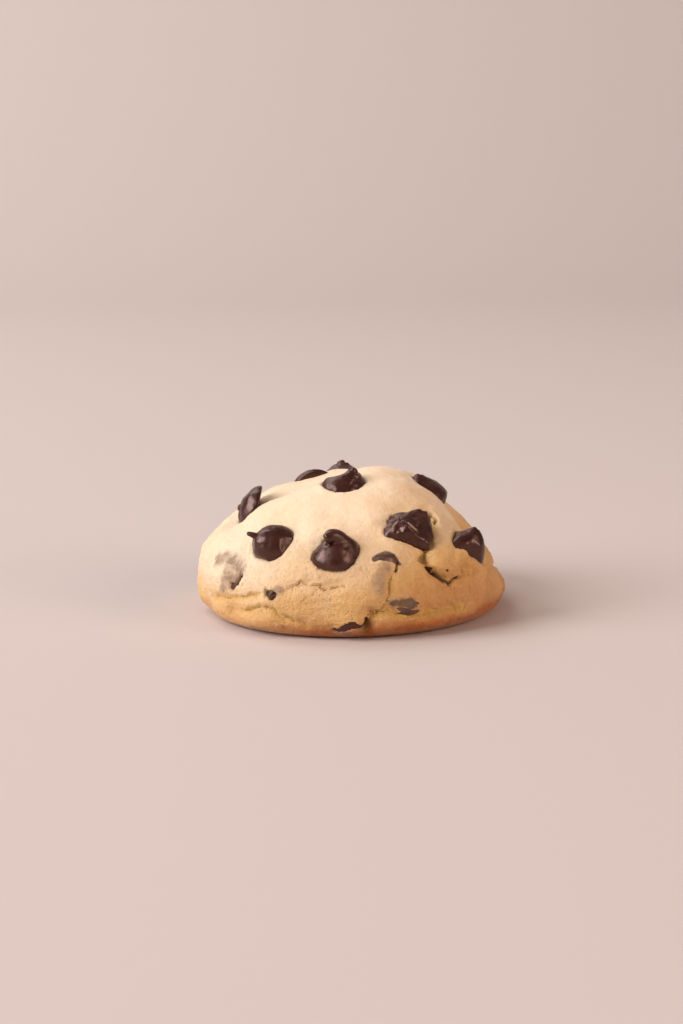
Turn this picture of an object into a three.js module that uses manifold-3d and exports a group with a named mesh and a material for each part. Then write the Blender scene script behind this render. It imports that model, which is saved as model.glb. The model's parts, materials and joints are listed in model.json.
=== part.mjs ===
// A thick, domed, soft-baked chocolate chip cookie: one piece of dough, and teardrop chocolate chips
// that sit in pockets of it, some standing proud and some only peeking out.
// Millimetres, +Z up. The flat base lies on Z = 0 round the origin, and the front faces -Y.
// A place on the dough is given as around, in degrees from the front towards +X, and down, in
// millimetres along the plain outline from the top of the dome.
import * as THREE from "three";
import { mergeVertices } from "three/addons/utils/BufferGeometryUtils.js";
import Module from "manifold-3d";

// Driving sizes of the dough
const ACROSS = 87; // diameter at the widest ring
const OVAL = 0.017; // how much the dough is drawn out past a circle, as a share of its radius
const OVAL_TURN = -35; // and which way, in degrees around
const TALL = 37.6; // height of the plain dome, without its swellings
const RIM_AT = 7.6; // height of the widest ring
const FOOT_INSET = 5.4; // how far the flat base's edge lies inside the widest ring
const FOOT_FADE = 4; // height over which the relief dies away towards the flat base
const DOME_STEP = 2.35; // spacing of the vertices on the dome
const BASE_STEP = 9; // and on the flat base
const DOME_FEWEST = 6; // fewest vertices of a ring of the dome
const BASE_FEWEST = 3; // and of the flat base
const OUTLINE_STEPS = 120; // steps of each quarter curve of the outline

// Driving sizes of a chip
const CHIP_WIDE = 12.4; // diameter of the round foot
const CHIP_TALL = 8.8; // from the foot to the tip
const CHIP_SIDES = 12;
const CHIP_RINGS = 5;
const CHIP_BELLY = 0.5; // how full the sides are, before they draw in to the tip
const CHIP_FLAT = 0.9; // share of the radius where the foot is flat
const CHIP_EDGE = 0.08; // height of the foot's rounded edge, as a share of the chip's height
const CHIP_NECK = 0.96; // height of the last ring below the tip, as such a share
const POCKET_GAP = 0.3; // free space between a chip and the dough round it

// Swellings and hollows of the dome: where, how far each spreads and how high it stands
const LUMPS = [
  { around: 70, down: 9, spread: 10, rise: 2.5 }, // crown, to the right of the middle
  { around: -80, down: 15, spread: 8, rise: -1.6 }, // dip to the left of the crown
  { around: -86, down: 33, spread: 6, rise: -2.8 }, // hollow of the left shoulder
  { around: -90, down: 43, spread: 6, rise: 2.2 }, // full left side
  { around: 91, down: 40, spread: 10, rise: -7 }, // steep right side
  { around: 92, down: 51, spread: 7, rise: -3.6 },
  { around: 92, down: 61, spread: 6, rise: 3 }, // and the rim below it
  { around: -32, down: 61, spread: 10, rise: 1.7 }, // front left of the rim
  { around: 9, down: 50, spread: 5, rise: 0.9 }, // thin dough over the chip that peeks out in front
  { around: 38, down: 45, spread: 4.5, rise: 1.4 }, // cap of dough over the slit
  { around: 8, down: 38, spread: 4, rise: -0.7 }, // dip between the two front chips
  { around: 150, down: 30, spread: 10, rise: 0.8 }, // back of the dome
  { around: -140, down: 40, spread: 9, rise: -0.8 },
  { around: 170, down: 58, spread: 9, rise: 1.1 }, // back of the rim
];

// Folds, cracks and ridges that run along a path of places
const STROKES = [
  { path: [[-24, 53], [-20, 51.2], [-16, 50.6], [-11, 51.4], [-5, 51]], wide: 1.5, rise: -0.9 },
  { path: [[-64, 59], [-48, 57], [-35, 55]], wide: 1.7, rise: -0.8 },
  { path: [[-50, 60.5], [-37, 58.8], [-30, 58.4], [-23, 60.4], [-18, 62]], wide: 1.7, rise: -1 },
  { path: [[4.5, 58.6], [5, 61], [4.5, 66]], wide: 1.6, rise: -2.2 }, // notch in the rim
  { path: [[5, 58.6], [12, 57.8], [20, 58.8], [33, 59.4], [50, 59]], wide: 1.7, rise: -1.3 },
  { path: [[10, 62.4], [22, 62.6], [34, 62], [46, 61.5]], wide: 3, rise: 1.2 }, // lip of the rim
  { path: [[14, 46], [13, 50], [11.5, 55], [5, 58.6]], wide: 1.5, rise: -1 },
  { path: [[29, 45], [31, 48], [35, 50.6], [39, 51.6], [43, 50], [46, 47.5]], wide: 1.4, rise: -1.5 },
  { path: [[46, 30], [44.5, 34], [39, 38.5], [32, 42]], wide: 1.8, rise: -0.9 },
  { path: [[100, 56], [118, 58], [134, 55]], wide: 1.8, rise: -1.1 },
  { path: [[150, 46], [163, 49], [178, 47], [190, 49.5]], wide: 1.6, rise: -1 },
  { path: [[205, 60], [222, 57.5], [240, 59.5]], wide: 1.8, rise: -1.1 },
];

// Uneven swell of the whole skin: a sum of slow waves in different directions
const SWELL_WAVES = 9;
const SWELL_LONGEST = 26; // wavelength of the slowest wave
const SWELL_SHORTEST = 9; // wavelength of the quickest wave
const SWELL_RISE = 0.012; // height of a wave, as a share of its wavelength

// Chips that the front shows. sink is how deep the middle of the foot lies in the dough, and tilt is
// how far the point leans from straight out towards a side: 0 is right, 90 up the slope, 180 left and
// 270 down. Chips that only peek out lie on their side, with a tilt near 90.
const FRONT_CHIPS = [
  { name: "chip_front_centre", around: -8, down: 42, sink: 3.2, tilt: 34, towards: 86, wide: 1.04 },
  { name: "chip_front_left", around: -36, down: 39.6, sink: 3, tilt: 24, towards: 198, wide: 0.98 },
  { name: "chip_front_right", around: 26.5, down: 35.7, sink: 3, tilt: 22, towards: 150, wide: 1.08 },
  { name: "chip_right_cone", around: 53, down: 44.4, sink: 2.4, tilt: 26, towards: 50, wide: 1.04 },
  { name: "chip_left_shoulder", around: -85, down: 30, sink: 0.4, tilt: 44, towards: 266, tall: 0.5 },
  { name: "chip_crown_front", around: -17, down: 10.4, sink: 4, tilt: 26, towards: 25, wide: 1.04 },
  { name: "chip_crown_back", around: -172, down: 23, sink: 4.3, tilt: 6, towards: 90, wide: 0.94 },
  { name: "chip_crown_left", around: -134, down: 16.5, sink: 4.95, tilt: 78, towards: 210, wide: 0.96 },
  { name: "chip_right_shoulder", around: 97, down: 22.8, sink: 4.9, tilt: 34, towards: 100 },
  {
    name: "chip_left_smeared",
    around: -53.5,
    down: 50.4,
    sink: 3,
    tilt: 12,
    towards: 20,
    wide: 1.06,
    tall: 0.6,
  },
  { name: "chip_peeking_arc", around: 11.6, down: 41.8, sink: 4.9, tilt: 106, towards: 270, wide: 0.92 },
  { name: "chip_peeking_slit", around: 35.5, down: 51.2, sink: 3.8, tilt: 112, towards: 55, wide: 0.96 },
  { name: "chip_peeking_point", around: -29, down: 54.4, sink: 7.4, wide: 0.86 },
  { name: "chip_under_film", around: 20, down: 54.6, sink: 4.3, tilt: 108, towards: 270, wide: 0.9 },
  { name: "chip_in_notch", around: -1.5, down: 65.4, sink: 4.8, tilt: 108, towards: 112, wide: 0.9 },
];

// Chips of the hidden side, spread evenly by the golden ratio
const BACK_CHIPS = 9;
const BACK_FROM = 122; // degrees around
const BACK_SWEEP = 122;
const BACK_TOP = 36; // millimetres down
const BACK_BOTTOM = 57;
const BACK_SINK = [3, 5.2, 3.8]; // depths that take turns
const BACK_WIDE = 0.95;
const BACK_TILT = 20;
const BACK_TURN = 97; // turn from one chip to the next, of the way that they lean
const GOLDEN = (Math.sqrt(5) - 1) / 2;

const DOUGH = new THREE.MeshStandardMaterial({ color: 0xdcae74, roughness: 0.75, metalness: 0 });
const CHOCOLATE = new THREE.MeshStandardMaterial({ color: 0x3f1f17, roughness: 0.4, metalness: 0 });

const QUARTER_TURN = Math.PI / 2;
const radians = THREE.MathUtils.degToRad;

// The plain outline, from the top of the dome, round the rim and in to the middle of the base, as
// points of radius and height with their distance down along it.
function makeOutline() {
  const radius = ACROSS / 2;
  const points = [];
  for (let i = 0; i <= OUTLINE_STEPS; i++) {
    const a = (QUARTER_TURN * i) / OUTLINE_STEPS;
    points.push({ r: radius * Math.sin(a), z: RIM_AT + (TALL - RIM_AT) * Math.cos(a) });
  }
  for (let i = 1; i <= OUTLINE_STEPS; i++) {
    const a = (QUARTER_TURN * i) / OUTLINE_STEPS;
    points.push({ r: radius - FOOT_INSET * (1 - Math.cos(a)), z: RIM_AT * (1 - Math.sin(a)) });
  }
  points.push({ r: 0, z: 0 });
  points[0].down = 0;
  for (let i = 1; i < points.length; i++) {
    const step = Math.hypot(points[i].r - points[i - 1].r, points[i].z - points[i - 1].z);
    points[i].down = points[i - 1].down + step;
  }
  return points;
}

const OUTLINE = makeOutline();
const FOOT_DOWN = OUTLINE[OUTLINE.length - 2].down; // edge of the flat base
const OUTLINE_END = OUTLINE[OUTLINE.length - 1].down; // middle of the flat base

// Radius, height and slope of the outline at a distance down.
function outlineAt(down) {
  let i = OUTLINE.findIndex((point) => point.down >= down);
  i = Math.max(1, i < 0 ? OUTLINE.length - 1 : i);
  const [a, b] = [OUTLINE[i - 1], OUTLINE[i]];
  const run = b.down - a.down;
  const share = (down - a.down) / run;
  return {
    r: THREE.MathUtils.lerp(a.r, b.r, share),
    z: THREE.MathUtils.lerp(a.z, b.z, share),
    outwards: (b.r - a.r) / run,
    upwards: (b.z - a.z) / run,
  };
}

// A place on the plain outline, with the directions out of the dough, to the right and up the slope.
function plainPlace(around, down) {
  const { r, z, outwards, upwards } = outlineAt(down);
  const oval = 1 + OVAL * Math.cos(2 * radians(around - OVAL_TURN));
  const [s, c] = [Math.sin(radians(around)), Math.cos(radians(around))];
  const out = new THREE.Vector3(s, -c, 0);
  return {
    point: out.clone().multiplyScalar(r * oval).setZ(z),
    normal: out.clone().multiplyScalar(-upwards).setZ(outwards),
    right: new THREE.Vector3(c, s, 0),
    upSlope: out.clone().multiplyScalar(-outwards).setZ(-upwards),
  };
}

const placed = LUMPS.map((lump) => ({ ...lump, centre: plainPlace(lump.around, lump.down).point }));
const drawn = STROKES.map((stroke) => ({ ...stroke, line: strokeSegments(stroke.path) }));
const waves = Array.from({ length: SWELL_WAVES }, (_, k) => swellWave(k));

function strokeSegments(path) {
  const points = path.map(([around, down]) => plainPlace(around, down).point);
  return points.slice(1).map((point, i) => new THREE.Line3(points[i], point));
}

// One wave of the swell. Their directions step round a sphere by the golden ratio.
function swellWave(k) {
  const share = (k + 0.5) / SWELL_WAVES;
  const turn = 2 * Math.PI * GOLDEN * k;
  const height = 2 * share - 1;
  const flat = Math.sqrt(1 - height * height);
  const length = THREE.MathUtils.lerp(SWELL_LONGEST, SWELL_SHORTEST, share);
  return {
    direction: new THREE.Vector3(flat * Math.cos(turn), flat * Math.sin(turn), height),
    length,
    start: turn * k,
  };
}

// Height of the lumps, strokes and swell over the plain outline at a point of it.
function reliefAt(point) {
  const nearest = new THREE.Vector3();
  let height = 0;
  for (const { centre, spread, rise } of placed)
    height += rise * Math.exp(-point.distanceToSquared(centre) / (2 * spread * spread));
  for (const { line, wide, rise } of drawn) {
    let gap = Infinity;
    for (const segment of line) {
      segment.closestPointToPoint(point, true, nearest);
      gap = Math.min(gap, point.distanceTo(nearest));
    }
    height += rise * Math.exp(-((gap / wide) ** 2));
  }
  for (const { direction, length, start } of waves)
    height += SWELL_RISE * length * Math.sin((2 * Math.PI * point.dot(direction)) / length + start);
  return height * THREE.MathUtils.smoothstep(point.z, 0, FOOT_FADE);
}

// A place on the real, uneven dough.
function doughPlace(around, down) {
  const place = plainPlace(around, down);
  place.point.addScaledVector(place.normal, reliefAt(place.point));
  return place;
}

// One level ring of vertices, spaced about a step apart.
function ring(down, step, fewest) {
  const count = Math.max(fewest, Math.round((2 * Math.PI * outlineAt(down).r) / step));
  return Array.from({ length: count }, (_, i) => doughPlace((360 * i) / count, down).point);
}

// Rings from the top of the dome to the last small triangle round the middle of the base.
function doughRings() {
  const rowHeight = DOME_STEP * Math.sin(Math.PI / 3);
  const domeRows = Math.round(FOOT_DOWN / rowHeight);
  const baseRows = Math.round((OUTLINE_END - FOOT_DOWN) / BASE_STEP);
  const rings = [[doughPlace(0, 0).point]];
  for (let i = 1; i <= domeRows; i++)
    rings.push(ring((FOOT_DOWN * i) / domeRows, DOME_STEP, DOME_FEWEST));
  for (let i = 1; i < baseRows; i++) {
    const down = THREE.MathUtils.lerp(FOOT_DOWN, OUTLINE_END, i / baseRows);
    rings.push(ring(down, BASE_STEP, BASE_FEWEST));
  }
  return rings;
}

// A closed skin through rings of different counts, walked round two rings at a time.
function stitchRings(rings) {
  const starts = [];
  const points = [];
  for (const one of rings) {
    starts.push(points.length);
    points.push(...one);
  }
  const faces = [];
  for (let k = 1; k < rings.length; k++) {
    const [upper, lower] = [rings[k - 1].length, rings[k].length];
    const above = (i) => starts[k - 1] + (i % upper);
    const below = (i) => starts[k] + (i % lower);
    let [i, j] = [0, 0];
    while (j < lower || (upper > 1 && i < upper)) {
      const lowerTurn = upper === 1 || (j < lower && (i >= upper || (j + 1) / lower <= (i + 1) / upper));
      if (lowerTurn) faces.push(above(i), below(j), below(++j));
      else faces.push(above(i), below(j), above(++i));
    }
  }
  const last = starts[rings.length - 1];
  for (let i = 1; i < rings[rings.length - 1].length - 1; i++) faces.push(last, last + i + 1, last + i);
  return new THREE.BufferGeometry().setFromPoints(points).setIndex(faces);
}

// A teardrop chip on its flat foot at Z = 0, or the hollow for it, which is larger all round by grow.
function chipGeometry({ wide = 1, tall = 1, spin = 0 }, grow = 0) {
  const [radius, height] = [(CHIP_WIDE * wide) / 2, CHIP_TALL * tall];
  const profile = [new THREE.Vector2(0, -grow), new THREE.Vector2(radius * CHIP_FLAT + grow, -grow)];
  for (let i = 0; i < CHIP_RINGS; i++) {
    const share = THREE.MathUtils.lerp(CHIP_EDGE, CHIP_NECK, i / (CHIP_RINGS - 1));
    const r = radius * (1 - share) * (1 + CHIP_BELLY * Math.sin(Math.PI * share));
    profile.push(new THREE.Vector2(r + grow, height * share));
  }
  profile.push(new THREE.Vector2(0, height + grow));
  const made = new THREE.LatheGeometry(profile, CHIP_SIDES).rotateX(QUARTER_TURN);
  made.deleteAttribute("normal");
  made.deleteAttribute("uv");
  return mergeVertices(made).rotateZ(radians(spin));
}

// A chip as a mesh that stands in the dough.
function chipMesh(chip) {
  const { point, normal, right, upSlope } = doughPlace(chip.around, chip.down);
  const mesh = new THREE.Mesh(chipGeometry(chip), CHOCOLATE);
  mesh.name = chip.name;
  mesh.position.copy(point).addScaledVector(normal, -chip.sink);
  const [tilt, towards] = [radians(chip.tilt ?? 0), radians(chip.towards ?? 0)];
  const hinge = new THREE.Vector3(-Math.sin(towards), Math.cos(towards), 0);
  mesh.quaternion
    .setFromRotationMatrix(new THREE.Matrix4().makeBasis(right, upSlope, normal))
    .multiply(new THREE.Quaternion().setFromAxisAngle(hinge, tilt));
  mesh.updateMatrix();
  return mesh;
}

function backChips() {
  return Array.from({ length: BACK_CHIPS }, (_, k) => ({
    name: `chip_back_${k + 1}`,
    around: BACK_FROM + BACK_SWEEP * ((GOLDEN * (k + 1)) % 1),
    down: THREE.MathUtils.lerp(BACK_TOP, BACK_BOTTOM, k / (BACK_CHIPS - 1)),
    sink: BACK_SINK[k % BACK_SINK.length],
    wide: BACK_WIDE,
    tilt: BACK_TILT,
    towards: BACK_TURN * k,
    spin: BACK_TURN * k,
  }));
}

function solidOf(wasm, geometry) {
  const vertProperties = new Float32Array(geometry.getAttribute("position").array);
  const triVerts = new Uint32Array(geometry.getIndex().array);
  return new wasm.Manifold(new wasm.Mesh({ numProp: 3, vertProperties, triVerts }));
}

function geometryOf(solid) {
  const { vertProperties, triVerts } = solid.getMesh();
  return new THREE.BufferGeometry()
    .setAttribute("position", new THREE.BufferAttribute(vertProperties, 3))
    .setIndex(new THREE.BufferAttribute(triVerts, 1));
}

// The dough with a pocket for each chip. Scraps that a pocket cuts free are dropped.
function doughMesh(wasm, chips) {
  let dough = solidOf(wasm, stitchRings(doughRings()));
  for (const chip of chips) {
    const hollow = chipGeometry(chip, POCKET_GAP).applyMatrix4(chipMesh(chip).matrix);
    dough = dough.subtract(solidOf(wasm, hollow));
  }
  const largest = dough.decompose().sort((a, b) => b.volume() - a.volume())[0];
  const mesh = new THREE.Mesh(geometryOf(largest), DOUGH);
  mesh.geometry.computeVertexNormals();
  mesh.name = "dough";
  return mesh;
}

const wasm = await Module();
wasm.setup();
const chips = [...FRONT_CHIPS, ...backChips()];
const cookie = new THREE.Group();
cookie.name = "chocolate_chip_cookie";
cookie.add(doughMesh(wasm, chips), ...chips.map(chipMesh));

export default cookie;
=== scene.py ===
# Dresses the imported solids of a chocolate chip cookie: the dough gets its baked skin, cracks and thin
# films, the chips get the shape and sheen of moulded chocolate, and crumbs lie along the breaks.
# A place on the dough is given as around, in degrees from the front towards +X, and down, in
# millimetres along the plain outline from the top of the dome. Lengths are millimetres, as in the
# part's own source, until a mesh is made.
import json
import math
from collections import namedtuple

import bpy
import numpy as np
from bpy.props import FloatProperty, FloatVectorProperty, IntProperty, PointerProperty
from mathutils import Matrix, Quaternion, Vector
from mathutils.bvhtree import BVHTree

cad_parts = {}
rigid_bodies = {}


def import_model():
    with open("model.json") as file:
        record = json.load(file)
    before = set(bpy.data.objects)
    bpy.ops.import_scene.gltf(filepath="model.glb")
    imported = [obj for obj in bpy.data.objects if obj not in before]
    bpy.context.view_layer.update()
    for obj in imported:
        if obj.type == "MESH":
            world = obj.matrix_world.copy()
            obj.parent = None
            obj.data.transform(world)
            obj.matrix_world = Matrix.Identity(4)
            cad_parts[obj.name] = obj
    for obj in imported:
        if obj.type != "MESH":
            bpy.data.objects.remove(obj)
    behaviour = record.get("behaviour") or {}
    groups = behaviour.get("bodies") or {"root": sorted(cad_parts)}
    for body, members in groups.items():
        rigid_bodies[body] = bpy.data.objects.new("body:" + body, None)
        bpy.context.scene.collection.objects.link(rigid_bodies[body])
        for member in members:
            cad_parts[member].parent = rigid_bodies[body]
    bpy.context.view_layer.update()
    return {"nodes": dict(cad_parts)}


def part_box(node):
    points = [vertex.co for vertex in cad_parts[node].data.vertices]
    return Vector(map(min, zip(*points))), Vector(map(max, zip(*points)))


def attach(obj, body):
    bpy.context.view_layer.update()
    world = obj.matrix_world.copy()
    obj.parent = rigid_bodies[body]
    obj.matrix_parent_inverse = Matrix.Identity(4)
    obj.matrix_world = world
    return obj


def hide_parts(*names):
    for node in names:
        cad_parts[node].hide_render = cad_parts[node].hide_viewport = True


bl_info = {
    "name": "Chocolate chip cookie",
    "version": (1, 0, 0),
    "blender": (4, 5, 0),
    "location": "3D View > Sidebar > Cookie",
    "description": "Dresses the packed solids of a soft-baked cookie with dough, chips and crumbs",
    "category": "Object",
}

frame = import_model()

MM = 0.001
CHIP_NODES = sorted(name for name in frame["nodes"] if name.startswith("chip_"))

# Plain form of the dough, as packed
ACROSS = 87.0
OVAL = 0.017
OVAL_TURN = -35.0
TALL = 37.6
RIM_AT = 7.6
FOOT_INSET = 5.4
FOOT_FADE = 4.0
OUTLINE_STEPS = 400

# Swellings and hollows, as packed: around, down, spread and rise
LUMPS = (
    (70, 9, 10, 2.5),
    (-80, 15, 8, -1.6),
    (-86, 33, 6, -2.8),
    (-90, 43, 6, 2.2),
    (91, 40, 10, -7),
    (92, 51, 7, -3.6),
    (92, 61, 6, 3),
    (-32, 61, 10, 1.7),
    (9, 50, 5, 0.9),
    (38, 45, 4.5, 1.4),
    (8, 38, 4, -0.7),
    (150, 30, 10, 0.8),
    (-140, 40, 9, -0.8),
    (170, 58, 9, 1.1),
)

# Folds and ridges, as packed: path, width and rise
STROKES = (
    (((-24, 53), (-20, 51.2), (-16, 50.6), (-11, 51.4), (-5, 51)), 1.5, -0.9),
    (((-64, 59), (-48, 57), (-35, 55)), 1.7, -0.8),
    (((-50, 60.5), (-37, 58.8), (-30, 58.4), (-23, 60.4), (-18, 62)), 1.7, -1),
    (((4.5, 58.6), (5, 61), (4.5, 66)), 1.6, -2.2),
    (((5, 58.6), (12, 57.8), (20, 58.8), (33, 59.4), (50, 59)), 1.7, -1.3),
    (((10, 62.4), (22, 62.6), (34, 62), (46, 61.5)), 3, 1.2),
    (((14, 46), (13, 50), (11.5, 55), (5, 58.6)), 1.5, -1),
    (((29, 45), (31, 48), (35, 50.6), (39, 51.6), (43, 50), (46, 47.5)), 1.4, -1.5),
    (((46, 30), (44.5, 34), (39, 38.5), (32, 42)), 1.8, -0.9),
    (((100, 56), (118, 58), (134, 55)), 1.8, -1.1),
    (((150, 46), (163, 49), (178, 47), (190, 49.5)), 1.6, -1),
    (((205, 60), (222, 57.5), (240, 59.5)), 1.8, -1.1),
)

# Slow swell, as packed
SWELL_WAVES = 9
SWELL_LONGEST = 26.0
SWELL_SHORTEST = 9.0
SWELL_RISE = 0.012
GOLDEN = (math.sqrt(5) - 1) / 2

# Sharp breaks of the skin, finer than the imported relief. step lifts the upper side over the lower
# one, crumbly is how many crumbs lie along the break, and dark is how much dark colour is painted in
# it, for chocolate that shows there and painted shade down in the gap.
Cut = namedtuple("Cut", "path wide depth lip step crumbly dark", defaults=(0.0, 0.0))
CUTS = (
    Cut(
        ((-25, 52.4), (-22.2, 51.6), (-19, 50), (-16.8, 50.8), (-13, 51), (-10.2, 51.7), (-3, 50.8)),
        0.3, 0.75, 0.24, 0.12, 1.0,
    ),
    Cut(((-64, 59.2), (-56.5, 57.4), (-45.8, 56.4), (-37.8, 54.9), (-33, 54.2)), 0.6, 0.5, 0.15, 0.2),
    Cut(
        ((-45.5, 60), (-37.5, 58.6), (-33.2, 57), (-29.5, 57.8), (-26.5, 59.2), (-19.2, 61.6)),
        0.6, 0.7, 0.2, 0.3, 0.1,
    ),
    Cut(((3.8, 59.2), (4.2, 61.4), (3.5, 64.4), (4, 66.8)), 0.7, 2.0, 0.2, 0.0, 0.0, 0.5),
    Cut(
        ((3.5, 59.6), (5.8, 59.2), (10, 58.7), (15.8, 59.6), (23.8, 60), (34.2, 60), (46.2, 59.6)),
        0.55, 0.7, 0.1, -0.3, 0.1,
    ),
    Cut(
        ((29, 45.8), (31.5, 48.4), (34.5, 50.6), (36.5, 51.8), (37.8, 52.4), (40.8, 51.4), (45, 49.6)),
        0.5, 1.6, 0.1, 0.5, 0.0, 0.85,
    ),
    Cut(((45.8, 49.2), (46.5, 51.8), (45.8, 53.6)), 0.5, 0.45, 0.15, 0.0),
    Cut(((16.9, 45.2), (16.2, 46.8), (15.3, 48)), 0.45, 1.4, 0.1, 0.0, 0.2, 0.8),
    Cut(
        ((15.3, 47.8), (14, 48.8), (13.2, 50.6), (13, 52.6), (12, 55), (8, 58.2), (4.8, 59.6)),
        0.4, 0.6, 0.25, 0.0, 0.7,
    ),
    Cut(((46, 30.8), (43.8, 33.8), (39.5, 37.4), (33.5, 41), (29, 44.2), (29, 46.2)), 0.7, 0.6, 0.1, 0.2),
    Cut(((15.2, 57.2), (18.2, 58.2), (21, 58.9), (25, 59)), 0.42, 1.4, 0.1, 0.2, 0.0, 0.9),
    Cut(((-43.4, 49.2), (-45.6, 51.4), (-48.6, 53.2), (-49.9, 55.4)), 0.62, 1.9, 0.1, 0.0, 0.0, 1.0),
    Cut(((-33, 53.3), (-30.4, 53.9), (-27.6, 55.4)), 0.8, 0.8, 0.1, 0.0, 0.0, 1.0),
    Cut(((46, 28.6), (48, 30.6), (47.6, 33), (44, 35.8)), 0.45, 1.1, 0.2, 0.1, 0.0, 0.7),
    Cut(((20.8, 45.2), (22.2, 45.7), (23.8, 45.4)), 0.35, 0.5, 0.15, 0.0, 0.3),
    Cut(((100, 56), (118, 58), (134, 55)), 0.6, 0.8, 0.2, 0.2, 0.3),
    Cut(((150, 46), (163, 49), (178, 47), (190, 49.5)), 0.5, 0.9, 0.3, 0.2, 0.8),
    Cut(((205, 60), (222, 57.5), (240, 59.5)), 0.6, 0.8, 0.2, 0.2, 0.2),
)
CUT_WANDER = 0.55  # how far a break strays from its path
CUT_WANDER_SIZE = 1.7  # and over what length
CUT_TAPER = 2.5  # length over which a break dies away at its ends
CUT_FINER = 2.6  # how much shorter the finer straying is
CUT_FINER_SHARE = 0.4  # and how far it goes, of the broad one
CUT_UNEVEN = 0.45  # how unevenly deep a break is
CUT_UNEVEN_SIZE = 1.3  # and over what length
STEP_SHARP = 3  # how sharply the lift beside a break begins
STEP_REACH = 3.0  # how far the lift beside a break reaches
LIP_AT = 2.1  # where the lip beside a break stands, in widths of the break
LIP_WIDE = 1.3  # and how wide it is, in the same measure
LIP_UNEVEN = 0.8  # how uneven it is
BROKEN_WIDE = 1.25  # how far the moist skin reaches, in the same measure
CRUMBLY_WIDE = 2.2  # and the crumbly skin

# Thin films of dough and chocolate: path, radius, strength, and how dark the chocolate shows through
Film = namedtuple("Film", "path radius strength dark")
FILMS = (
    Film(((11.5, 46), (10, 48.2), (9, 50.2), (8.5, 52.2)), 2.2, 0.8, 0.05),
    Film(((14, 56.2), (17.5, 56), (21, 56.5)), 1.7, 0.95, 0.75),
    Film(((-65, 48.3), (-57, 47), (-50, 47.3), (-46, 48.8)), 2.5, 1.0, 0.22),
    Film(((-48, 51.5), (-52, 52), (-53.4, 54.6)), 1.8, 0.95, 0.12),
    Film(((-29.4, 53.2), (-26.6, 53)), 1.3, 0.8, 0.2),
    Film(((-8, 63.8), (3, 63.8)), 1.2, 0.6, 0.3),
)
FILM_RAGGED = 0.5  # how ragged a film's edge is
FILM_NOISE = (2.2, 0.8, 0.7)  # over what length, over what finer one, and the finer one's share
FILM_EDGE = (0.3, 1.3)  # where it begins and ends, in radii of the film
SHOWING_RAGGED = 0.15  # how ragged the chocolate that shows through is

# Laps of dough over the lower edge of a chip: path, half width and rise
LAPS = (
    (((42.4, 44.4), (48.6, 48.2), (54, 51), (60, 53.4)), 2.4, 2.8),
    (((-45, 13.6), (-17, 15.2), (8, 14.4)), 1.4, 0.6),
)
LAP_STEEP = 0.6  # share of a lap's rise with its own width
LAP_SOFT = 0.4  # and share with a softer foot
LAP_SOFT_WIDE = 2.4  # which is this much wider
LAP_UNEVEN = 0.15  # how uneven a lap is
LAP_UNEVEN_SIZE = 2.0  # and over what length

# Chips that the skin runs over, and the openings where they peek out: path and half width
COVERED = (
    "chip_left_smeared",
    "chip_peeking_arc",
    "chip_peeking_slit",
    "chip_under_film",
    "chip_in_notch",
)
COVER = 0.3  # thickness of the skin over a covered chip
COVER_ROUNDS = 14  # how many times the swelling over a covered chip is smoothed
COVER_REACH = 9.0  # how far over the plain dough a covered chip is looked for
OPENING_DEPTH = 1.0  # how far the skin lies below the chocolate in an opening
OPENING_EDGE = 0.22  # half the width of an opening's edge
OPENING_RAGGED = 0.16  # how ragged that edge is
OPENING_NOISE = (1.1, 0.5, 0.5)  # over what length, over what finer one, and the finer one's share
OPENING_ENDS = 0.3  # share of its width that an opening still has at its ends
Opening = namedtuple("Opening", "path half")
OPENINGS = (
    Opening(((7.2, 44.5), (9.8, 43.4), (12.6, 43.1), (15.2, 43.9), (17.8, 45.6)), 1.6),
    Opening(((33.6, 50), (36.4, 51.2), (38.2, 52)), 1.15),
    Opening(((-10, 63.6), (-5.5, 63), (-3.2, 61.9), (-1, 61.2), (1.2, 61.6), (4, 62.2)), 0.6),
)

# Spacing of the fine skin's rows at distances down
ROW_AT = (0, 26, 36, 68, 72, 110)
ROW_STEPS = (0.5, 0.46, 0.345, 0.345, 0.6, 2.4)
RING_STRETCH = 1.08  # spacing round a ring, of the spacing between rows
FRONT_DENSER = 0.2  # how much closer the vertices stand at the front
LAST_RING = 8

# Contact of the skin with the chips
SKIN_INSET = 0.25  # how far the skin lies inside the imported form, so that its bumps stay within that
CONTACT_REACH = 3.5  # a chip further away than this doesn't move the skin
CONTACT_DIP = 0.45  # the skin turns down this far where it meets a chip
CONTACT_EDGE = 0.3  # within this distance
CONTACT_LIP = 0.14  # and swells this much
CONTACT_LIP_AT = 1.1  # at this distance
CONTACT_LIP_WIDE = 0.7  # over this width
CONTACT_UNEVEN = 1.1  # and this unevenly
CONTACT_UNEVEN_SIZE = 2.4  # over this length
LYING_OVER = (0.45, 0.85)  # a chip that lies this far over the skin doesn't move it
STAIN_REACH = (0.05, 0.6)  # distances from a chip over which its stain fades
STAIN_LEAST = 0.25  # how much of it stays under a chip that lies over the skin
STAIN_BESIDE = 0.45  # strength of the stain beside a chip
# in an opening the darkening is partly painted shade in the recess
OPENING_STAIN_AND_SHADE = 0.9  # and in an opening

# Roughness of the skin: at the top, how much more low down, between these heights, and on a film
ROUGH_TOP, ROUGH_LOW, ROUGH_HEIGHTS = 0.3, 0.75, (12, 32)
ROUGH_FILM, ROUGH_MOST = 0.8, 1.4
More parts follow.
